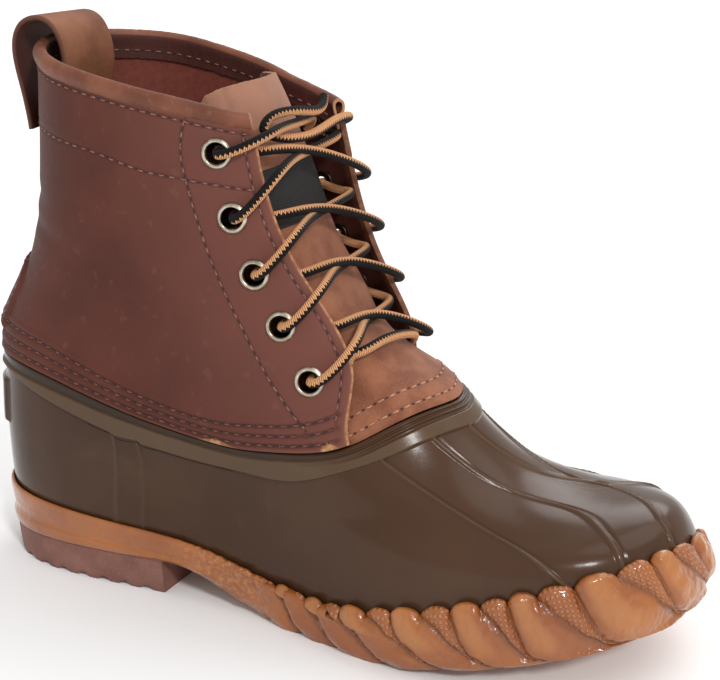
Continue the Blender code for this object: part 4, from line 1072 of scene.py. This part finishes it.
dark_thread = thread_finish("dark_thread", colour(74, 40, 36), colour(122, 78, 69))
brown_thread = thread_finish("brown_thread", colour(104, 66, 58), colour(150, 104, 92))
pale_thread = thread_finish("pale_thread", colour(150, 98, 76), colour(196, 144, 114))
sew("foot_stitches", [on_leather(row, 0.25) for row in foot_rows], 5.3, 2.5, 0.45, dark_thread,
    "shaft_leather")
sew("panel_stitches", [on_leather(row, 0.2) for row in panel_rows + [collar_row] + backstay], 4.5, 2.4, 0.38,
    brown_thread, "shaft_leather")
vamp_rows = []
for row_level in (0.022, 0.056):
    run_across = np.linspace(-0.93, 0.93, 300)
    run_level = row_level + 0 * run_across
    vamp_rows.append((tongue(run_across, run_level, 0.1), facing_out(tongue, run_across, run_level, 0.01)))
sew("vamp_stitches", vamp_rows, 5.0, 3.0, 0.42, pale_thread, "trim_leather")

# Collar binding
# A strip of reddish tan leather rolled over the shaft's top edge. It shows as a round bead outside and as
# a flat strip inside, held by one row of stitches; its ends at the throat are left open and raw.
BINDING_END = 0.096
BINDING_COLUMNS = 380
# Path of the strip across the roll: outward, upward
BINDING_ROLL = ((1.25, -3.9), (2.3, -2.5), (2.9, -0.5), (2.6, 1.5), (1.3, 2.75), (-0.3, 3.0), (-1.8, 2.2),
                (-2.5, 0.4), (-2.35, -2.0), (-2.0, -4.8), (-1.9, -7.2), (-1.85, -9.0))
ROLL_POINTS = 46
# Points of the roll after this one face the inside of the boot
ROLL_OUTSIDE = 27
ROLL_RISE = 3.2
STRIP_THICK = 1.1


def binding_axes(around):
    """Middle of the roll, and its outward and upward directions."""
    top = collar(around)
    edge = leather(around, top, (LEATHER_OUT - LEATHER_IN) / 2)
    upward = unit(last_point(around, top) - last_point(around, top - 0.05))
    outward = leather_normal(around, top)
    return edge + ROLL_RISE * upward, outward, upward


around = np.linspace(BINDING_END, 1 - BINDING_END, BINDING_COLUMNS)
middle, outward, upward = binding_axes(around)
path = spline(np.arange(len(BINDING_ROLL)), BINDING_ROLL, np.linspace(0, len(BINDING_ROLL) - 1, ROLL_POINTS))
heading = unit(np.gradient(path, axis=0))
under_path = path + STRIP_THICK * np.stack([-heading[:, 1], heading[:, 0]], axis=1)
wobble = np.array([noise.noise(Vector((a * 60, 0.0, 2.0))) + 0.7 * noise.noise(Vector((a * 190, 4.0, 0.0)))
                   for a in around])
section = np.concatenate([path, under_path[::-1]])
size = 1 + 0.05 * wobble
points = middle + size[:, None] * (section[:, 0, None, None] * outward + section[:, 1, None, None] * upward)
cut = np.zeros(points.shape[:2])
cut[:, [0, -1]] = 1.0
cut[0] = 0.5
roll_place = np.arange(ROLL_POINTS)
within = np.concatenate([roll_place, roll_place[::-1]]) > ROLL_OUTSIDE
within = np.repeat(within[:, None], BINDING_COLUMNS, axis=1)
end_faces = [[r * BINDING_COLUMNS + c for r in (k, k + 1, 2 * ROLL_POINTS - 2 - k, 2 * ROLL_POINTS - 1 - k)]
             for c in (0, BINDING_COLUMNS - 1) for k in range(ROLL_POINTS - 1)]
bound = new_finish("binding_leather")
mottle = bound.cloud(45.0, 4.0)
pores = bound.cells(1500.0)
rub = bound.cloud(300.0, 4.0)
tint = mottle.between(0.3, 0.7).mix(colour(99, 55, 39), colour(126, 75, 53))
tint = (rub.between(0.55, 0.8) * 0.3).mix(tint, colour(160, 110, 84))
# Painted shade: the strip's inside part, within the collar, is darker.
tint = bound.mark("within").mix(tint, mottle.mix(colour(62, 30, 25), colour(84, 45, 37)))
tint = bound.mark("cut").mix(tint, rub.mix(colour(150, 102, 74), colour(186, 140, 104)))
binding_leather = bound.surface({"Base Color": tint, "Roughness": 0.44 + 0.2 * mottle,
                                 "Specular IOR Level": 0.3, "Normal": (1 - pores).bump(0.06, rub.bump(0.12))})
add_piece("collar_roll", points, np.concatenate([grid_faces(len(section), BINDING_COLUMNS),
          grid_faces(2, BINDING_COLUMNS) + np.array([0, 0, 1, 1]) * (len(section) - 2) * BINDING_COLUMNS,
          end_faces]), binding_leather, "trim_leather", ["collar_binding"], sharp=1.0, cut=cut, within=within)
row_around = np.linspace(BINDING_END + 0.004, 1 - BINDING_END - 0.004, 500)
middle, outward, upward = binding_axes(row_around)
sew("binding_stitches", [(middle - 2.1 * outward - 5.6 * upward, -outward)], 4.5, 2.4, 0.36, brown_thread,
    "trim_leather")

# Pull loop
# A wide strap of tan leather, smooth and darker on its back. It is sewn to the outside of the collar,
# arches over the binding and is sewn again inside.
LOOP_CENTRE = 2.8
LOOP_WIDTH = 36.0
LOOP_THICK = 2.2
LOOP_WRAP = 2.6
# y, z, and how far its edges wrap round the shaft
LOOP_PATH = ((131.0, 187.0, 1.0), (131.6, 193.0, 0.95), (133.6, 203.0, 0.8), (135.6, 218.0, 0.5),
             (132.5, 228.0, 0.3), (124.5, 232.0, 0.2), (116.0, 229.0, 0.3), (112.0, 218.0, 0.5),
             (113.5, 206.0, 0.8), (117.5, 194.0, 1.0), (120.5, 184.0, 1.0))
LOOP_ROWS = 150
LOOP_COLUMNS = 36
fine = spline(np.arange(len(LOOP_PATH)), LOOP_PATH, np.linspace(0, len(LOOP_PATH) - 1, LOOP_ROWS))
across = np.sin(np.linspace(-1, 1, LOOP_COLUMNS) * np.pi / 2)


def strap_face(out):
    """Grid of one face of the strap, rounded off at its edges."""
    direction = unit(np.gradient(fine[:, :2], axis=0))
    outward = np.stack([direction[:, 1], -direction[:, 0]], axis=1)
    rounded = np.sqrt(np.clip(1 - np.clip((np.abs(across) - 0.94) / 0.06, 0, 1) ** 2, 0.0, None))
    reach = fine[:, None, :2] + out * rounded[None, :, None] * outward[:, None]
    wave = np.array([noise.noise(Vector((0.0, k * 0.05, 7.0))) for k in range(LOOP_ROWS)])
    grid = np.zeros((LOOP_ROWS, LOOP_COLUMNS, 3))
    grid[..., 0] = LOOP_CENTRE + across * (LOOP_WIDTH / 2 + 0.6 * wave[:, None])
    grid[..., 1] = reach[..., 0] - LOOP_WRAP * fine[:, 2, None] * across ** 2
    grid[..., 2] = reach[..., 1]
    return grid


points = np.concatenate([strap_face(LOOP_THICK / 2), strap_face(-LOOP_THICK / 2)[:, ::-1]], axis=1)
back_face = np.concatenate([np.zeros((LOOP_ROWS, LOOP_COLUMNS)), np.ones((LOOP_ROWS, LOOP_COLUMNS))], axis=1)
strap_edge = np.tile(smooth((np.abs(across) - 0.93) / 0.05), (LOOP_ROWS, 2))
strap = new_finish("strap_leather")
mottle = strap.cloud(55.0, 5.0)
nap = strap.cloud(900.0, 4.0)
tint = mottle.between(0.3, 0.7).mix(colour(106, 64, 43), colour(136, 86, 60))
tint = (nap.between(0.5, 0.8) * 0.3).mix(tint, colour(156, 110, 80))
tint = strap.mark("back_face").mix(tint, mottle.mix(colour(70, 36, 29), colour(94, 52, 42)))
tint = (strap.mark("strap_edge") * 0.7).mix(tint, colour(84, 50, 38))
strap_leather = strap.surface({"Base Color": tint, "Roughness": 0.55 + 0.25 * nap,
                               "Specular IOR Level": 0.3, "Normal": nap.bump(0.10, mottle.bump(0.3))})
loop_faces = grid_faces(LOOP_ROWS, 2 * LOOP_COLUMNS, True)
caps = [[r * 2 * LOOP_COLUMNS + c for c in (k, k + 1, 2 * LOOP_COLUMNS - 2 - k, 2 * LOOP_COLUMNS - 1 - k)]
        for r in (0, LOOP_ROWS - 1) for k in range(LOOP_COLUMNS - 1)]
add_piece("pull_strap", points, np.concatenate([loop_faces, caps]), strap_leather, "trim_leather",
          ["pull_loop"], sharp=0.9, back_face=back_face, strap_edge=strap_edge)

# Eyelets
# Ten pressed rings of worn nickel-plated brass, each with a rounded flange on the leather and a barrel
# rolled over at the back.
EYELET_PROFILE = ((2.5, -2.3), (3.5, -0.9), (4.05, 0.6), (4.3, 1.5), (4.7, 1.8), (5.1, 1.75), (5.5, 1.45),
                  (5.85, 1.0), (6.0, 0.55), (5.85, 0.25), (5.4, 0.1), (4.55, 0.1), (4.5, -2.0), (5.0, -2.3),
                  (4.7, -2.7), (3.6, -2.75))
EYELET_SIDES = 56
PROFILE_POINTS = 64
corners = len(EYELET_PROFILE)
profile = spline(np.arange(corners), EYELET_PROFILE,
                 np.linspace(0, corners, PROFILE_POINTS, endpoint=False), period=corners)
# The bore and the barrel behind it are painted dark, as painted shade in the hole.
bore = np.maximum(smooth((4.4 - profile[:, 0]) / 0.3), profile[:, 1] < -0.5)
bore = np.append(bore * smooth((1.2 - profile[:, 1]) / 0.8), 0)
angles = np.linspace(0, 2 * np.pi, EYELET_SIDES, endpoint=False)
metal = new_finish("eyelet_metal")
tarnish = metal.cloud(260.0, 5.0)
scratch = metal.cloud(1400.0, 3.0)
tint = tarnish.between(0.35, 0.7).mix(colour(168, 158, 138), colour(214, 208, 194))
# Painted shade in the bore and the barrel.
tint = metal.mark("bore").mix(tint, colour(60, 50, 40))
eyelet_metal = metal.surface({"Base Color": tint, "Metallic": 1.0, "Roughness": 0.22 + 0.22 * tarnish,
                              "Normal": scratch.bump(0.02)})
for name, place, outward in eyelets:
    turn = np.array(Vector(outward).to_track_quat("Z", "Y").to_matrix())
    ring = np.stack([profile[:, 0, None] * np.cos(angles), profile[:, 0, None] * np.sin(angles),
                     profile[:, 1, None] + 0 * angles], axis=-1)
    points = place + 0.15 * outward + ring @ turn.T
    points = np.concatenate([points, points[:1]])
    add_piece(name + "_ring", points, grid_faces(len(points), EYELET_SIDES, True), eyelet_metal,
              "eyelet_metal", [name], bore=np.repeat(bore, EYELET_SIDES))

# Lace
# One round cord braided from black and gold yarn. It lies straight under the bottom pair of eyelets, comes
# up through each eyelet, crosses over the flaps' edges, and is tied in a half knot at the top.
LACE_RADIUS = 1.8
LACE_SIDES = 18
LACE_SPACING = 0.42
BRAID_PITCH = 1.7
LACE_OVER_EYELET = 4.0
LACE_OVER_EDGE = 3.5
LACE_UNDER_FLAP = -5.0
LACE_START = 0.131
LACE_END = 0.111
LACE_NEAR_EDGE = 0.088
LACE_FAR_EDGE = 0.090
THROAT_EDGE = 0.092
# Share of the way from the lower eyelet to the upper one at the start, over the first flap's edge, in the
# middle of the throat, under the other flap's edge and at the end, from the outer and inner sides
LACE_CLIMB = {1: (0.05, 0.64, 0.86, 0.97, 0.96), -1: (0.03, 0.20, 0.86, 1.08, 1.04)}
# Strands from the inner side lie over those from the outer side
LACE_MIDDLE_LIFT = {1: -1.2, -1: 2.6}
# Degrees from the strand's front to the middle of its gold half, for each row from the top
GOLD_TURN = {1: (80, -105, -95, -95), -1: (80, 80, 80, 80)}
# The same for the bar and the two ends
END_GOLD_TURN = 80
# The bar under the lowest pair: place across the throat, height above the pair, lift
LACE_BAR = ((0.12, 0.34, 0.8), (0.33, 0.32, 5.7), (0.67, 0.22, 6.3), (0.88, 0.15, 0.6))
# Its heights above the pair at the flaps' edges and at its ends, on the outer and inner sides
LACE_BAR_EDGES = (0.36, 0.15)
LACE_BAR_ENDS = (0.12, 0.14)


def lace_spot(side, around, height, lift):
    """A point off a flap's outer face; side is 1 on the boot's outer side and -1 on its inner side."""
    return leather((side * around) % 1.0, height, LEATHER_OUT + lift)


def throat_outward(height):
    return unit(last_normal(THROAT_EDGE, height) + last_normal(1 - THROAT_EDGE, height))


def throat_spot(across, height, lift):
    """A point between the flaps' front edges; across is 0 at the outer flap and 1 at the inner one."""
    outer, inner = [lace_spot(side, THROAT_EDGE, height, 0.0) for side in (1, -1)]
    return outer + (inner - outer) * across + lift * throat_outward(height)


def eyelet_spot(side, row, depth, toward=0.0):
    """A point on an eyelet's axis, moved a little towards the throat."""
    _, place, outward = eyelets[row - 1 if side > 0 else row + 4]
    ahead = unit(lace_spot(side, EYELET_AROUND - 0.02, EYELET_ROWS[row - 1], 0.0) - place)
    return place + depth * outward + toward * ahead


def up_through(side, row):
    """The start of a strand, up through its eyelet from behind."""
    return [eyelet_spot(side, row, depth, toward)
            for depth, toward in ((-6.0, -0.4), (-1.0, 0.2), (2.5, 1.3))]


def strand_route(side, row):
    """From an eyelet over its flap's edge, across the throat and under the other flap to the next one."""
    low, high = EYELET_ROWS[row], EYELET_ROWS[row - 1]
    start, near, middle, far, end = [low + (high - low) * share for share in LACE_CLIMB[side]]
    return up_through(side, row + 1) + [
        lace_spot(side, LACE_START, start, LACE_OVER_EYELET),
        lace_spot(side, LACE_NEAR_EDGE, near, LACE_OVER_EDGE),
        throat_spot(0.5, middle, LACE_MIDDLE_LIFT[side]),
        lace_spot(-side, LACE_FAR_EDGE, far, LACE_UNDER_FLAP),
        lace_spot(-side, LACE_END, end, LACE_UNDER_FLAP),
        eyelet_spot(-side, row, -6.0, 2.5),
        eyelet_spot(-side, row, -4.0, 0.4)]


def even_path(route, spacing):
    """Points at an even spacing on a smooth curve through a route."""
    route = np.asarray(route, float)
    lengths = np.append(0, np.cumsum(np.linalg.norm(np.diff(route, axis=0), axis=1) ** 0.7))
    fine = spline(lengths, route, np.linspace(0, lengths[-1], 1200))
    steps = distance_along(fine)
    stops = np.linspace(0, steps[-1], max(int(steps[-1] / spacing), 8))
    return np.stack([np.interp(stops, steps, fine[:, k]) for k in range(3)], axis=1), stops


def braid(route, front, front_share, gold_turn):
    """Points and marks of a braided tube.

    The front direction, at a share of the length, is where its two colours are counted from.
    """
    path, stops = even_path(route, LACE_SPACING)
    run = unit(np.gradient(path, axis=0))
    sideways = np.zeros_like(run)
    first = int(front_share * (len(run) - 1))
    sideways[first] = unit(front - run[first] * (front @ run[first]))
    onward = [(k, k - 1) for k in range(first + 1, len(run))]
    backward = [(k, k + 1) for k in range(first)[::-1]]
    for after, before in onward + backward:
        sideways[after] = unit(sideways[before] - run[after] * (sideways[before] @ run[after]))
    third = np.cross(run, sideways)
    share = np.linspace(0, 1, LACE_SIDES + 1)
    angle = 2 * np.pi * share
    tooth = np.abs((stops[:, None] / BRAID_PITCH + 0.5 * np.sin(angle)) % 1.0 - 0.5) * 2
    radius = LACE_RADIUS * (0.97 + 0.07 * tooth)
    rings = path[:, None] + radius[..., None] * (np.cos(angle)[:, None] * sideways[:, None]
                                                 + np.sin(angle)[:, None] * third[:, None])
    rings[0] = path[0] + 0.25 * (rings[0] - path[0])
    rings[-1] = path[-1] + 0.25 * (rings[-1] - path[-1])
    roll = share + 0.5 - gold_turn / 360 + 0 * stops[:, None]
    return rings, np.broadcast_to(stops[:, None], rings.shape[:2]), roll, path


cord = new_finish("lace_cord")
along = cord.mark("along")
roll = cord.mark("roll")
tooth = abs((along * (1 / BRAID_PITCH)) % 1.0 - 0.5) * 2
gold = abs((roll % 1.0) - 0.5) + 0.10 * (tooth - 0.5)
gold = gold.between(0.26, 0.22)
pick = abs((along * (2 / BRAID_PITCH) + roll * 5.0) % 1.0 - 0.5) * 2
cross_pick = abs((along * (2 / BRAID_PITCH) - roll * 5.0) % 1.0 - 0.5) * 2
fuzz = cord.cloud(1500.0, 3.0)
# The picks' light and dark tints are painted highlights and painted shade on the braid's picks.
gold_tint = pick.mix(colour(140, 68, 42), colour(240, 188, 134))
black_tint = pick.mix(colour(8, 7, 7), colour(24, 19, 18))
tint = gold.mix(black_tint, gold_tint)
tint = (fuzz.between(0.62, 0.85) * 0.12).mix(tint, colour(130, 100, 78))
lace_cord = cord.surface({"Base Color": tint, "Roughness": 0.62 + 0.25 * fuzz, "Sheen Weight": 0.03,
                          "Specular IOR Level": 0.15, "Normal": (pick * cross_pick).bump(0.30)})
strands = [braid(strand_route(side, row), throat_outward(EYELET_ROWS[row]), 0.5, GOLD_TURN[side][row - 1])
           for row in range(1, len(EYELET_ROWS)) for side in (1, -1)]
bottom = EYELET_ROWS[-1]
lowest = len(EYELET_ROWS)
outer_half, inner_half = [
    [eyelet_spot(side, lowest, -1.0), eyelet_spot(side, lowest, -5.6, 1.0),
     lace_spot(side, LACE_END, bottom + end, LACE_UNDER_FLAP),
     lace_spot(side, LACE_FAR_EDGE, bottom + edge, LACE_UNDER_FLAP)]
    for side, end, edge in zip((1, -1), LACE_BAR_ENDS, LACE_BAR_EDGES)]
across_throat = [throat_spot(across, bottom + up, lift) for across, up, lift in LACE_BAR]
bar_route = outer_half + across_throat + inner_half[::-1]
strands.append(braid(bar_route, throat_outward(bottom), 0.5, END_GOLD_TURN))
points, faces, marks = [], [], []
for rings, stops, rolled, _ in strands:
    faces.append(grid_faces(*rings.shape[:2]) + sum(len(p) for p in points))
    points.append(rings.reshape(-1, 3))
    marks.append((stops.ravel(), rolled.ravel()))
add_piece("lacing", np.concatenate(points), np.concatenate(faces), lace_cord, "lace_cord",
          ["lace_crossing_1", "lace_crossing_2", "lace_crossing_3", "lace_crossing_4", "lace_bar"],
          along=np.concatenate([m[0] for m in marks]), roll=np.concatenate([m[1] for m in marks]))

# Lace ends
# The two free ends of the same cord, 87 and 134 mm long with the part inside their eyelets. They run
# from the top eyelets through one half knot; the tip of the outer end is tucked down behind the knot.
# Places across the throat, heights and lifts
OUTER_END = ((0.03, 8.74, 3.2), (0.2, 8.78, 2.8), (0.4, 8.78, 1.4), (0.58, 8.775, -0.9), (0.71, 8.75, -3.6),
             (0.78, 8.68, -7.0), (0.80, 8.58, -10.5))
INNER_END = ((0.97, 8.68, 3.2), (0.84, 8.69, 3.4), (0.66, 8.63, 2.9), (0.5, 8.585, 2.2), (0.34, 8.60, 0.6),
             (0.22, 8.67, -2.2), (0.16, 8.78, -3.4), (0.20, 8.89, -2.4), (0.31, 8.95, 0.8), (0.44, 8.92, 3.8),
             (0.57, 8.885, 4.8), (0.68, 8.935, 3.8), (0.75, 9.03, 2.2))
LACE_END_START = 0.121
KNOT_HEIGHT = 8.7
# piece, side, height over the flange, places in the knot, share of the length where the front is counted
for name, side, height, knot, front_share in (("lace_end_outer", 1, 8.55, OUTER_END, 0.45),
                                              ("lace_end_inner", -1, 8.52, INNER_END, 0.35)):
    route = up_through(side, 1) + [lace_spot(side, LACE_END_START, height, LACE_OVER_EYELET)]
    route += [throat_spot(*place) for place in knot]
    rings, stops, rolled, path = braid(route, throat_outward(KNOT_HEIGHT), front_share, END_GOLD_TURN)
    end = add_piece(name + "_cord", rings, grid_faces(*rings.shape[:2]), lace_cord, "lace_cord", [name],
                    along=stops, roll=rolled)
    path[0] * METRE
    path * METRE

# Studio
# A white paper floor that runs out of the picture, in a soft white room.
# Three broad soft lights stand round the boot, and the camera looks at its outer side.
floor_mesh = bpy.data.meshes.new("studio_floor")
floor_mesh.from_pydata([(-9, -9, 0), (12, -9, 0), (12, 12, 0), (-9, 12, 0)], [], [(0, 1, 2, 3)])
floor = bpy.data.objects.new("studio_floor", floor_mesh)
bpy.context.scene.collection.objects.link(floor)
paper = new_finish("white_paper")
paper_tone = paper.cloud(3.0, 2.0)
tint = paper_tone.mix(colour(250, 250, 250), colour(254, 254, 254))
floor_mesh.materials.append(paper.surface({"Base Color": tint, "Roughness": 0.85 + 0.1 * paper_tone,
                                           "Specular IOR Level": 0.2}))

scene = bpy.context.scene
world = bpy.data.worlds.new("studio")
world.use_nodes = True
world.node_tree.nodes["Background"].inputs["Color"].default_value = (1.0, 1.0, 1.0, 1.0)
world.node_tree.nodes["Background"].inputs["Strength"].default_value = 0.70
scene.world = world
# direction to the light, strength, spread in degrees, colour
LIGHTS = (((-0.55, -0.59, 0.59), 1.4, 8, (1.0, 1.0, 1.0)),
          ((0.28, -0.41, 0.87), 0.7, 45, (1.0, 0.98, 0.95)),
          ((0.8, 0.02, 0.6), 0.6, 30, (1.0, 1.0, 1.0)))
for k, (toward, strength, spread_angle, tone) in enumerate(LIGHTS, start=1):
    light = bpy.data.lights.new(f"soft_light_{k}", "SUN")
    light.energy = strength
    light.angle = np.radians(spread_angle)
    light.color = tone
    holder = bpy.data.objects.new(f"soft_light_{k}", light)
    holder.rotation_euler = Vector(toward).to_track_quat("Z", "Y").to_euler()
    scene.collection.objects.link(holder)

CAMERA_TARGET = Vector((0.17154, 0.0659, 0.05324))
CAMERA_TURN, CAMERA_RISE = np.radians((-65.13, 16.88))
CAMERA_DISTANCE = 0.8
camera = bpy.data.objects.new("camera", bpy.data.cameras.new("camera"))
camera.data.lens = 76.085
camera.data.sensor_width = 36.0
toward_camera = Vector((np.sin(CAMERA_TURN) * np.cos(CAMERA_RISE), -np.cos(CAMERA_TURN) * np.cos(CAMERA_RISE),
                        np.sin(CAMERA_RISE)))
camera.location = CAMERA_TARGET + CAMERA_DISTANCE * toward_camera
camera.rotation_euler = toward_camera.to_track_quat("Z", "Y").to_euler()
scene.collection.objects.link(camera)
scene.camera = camera
scene.view_settings.view_transform = "Standard"
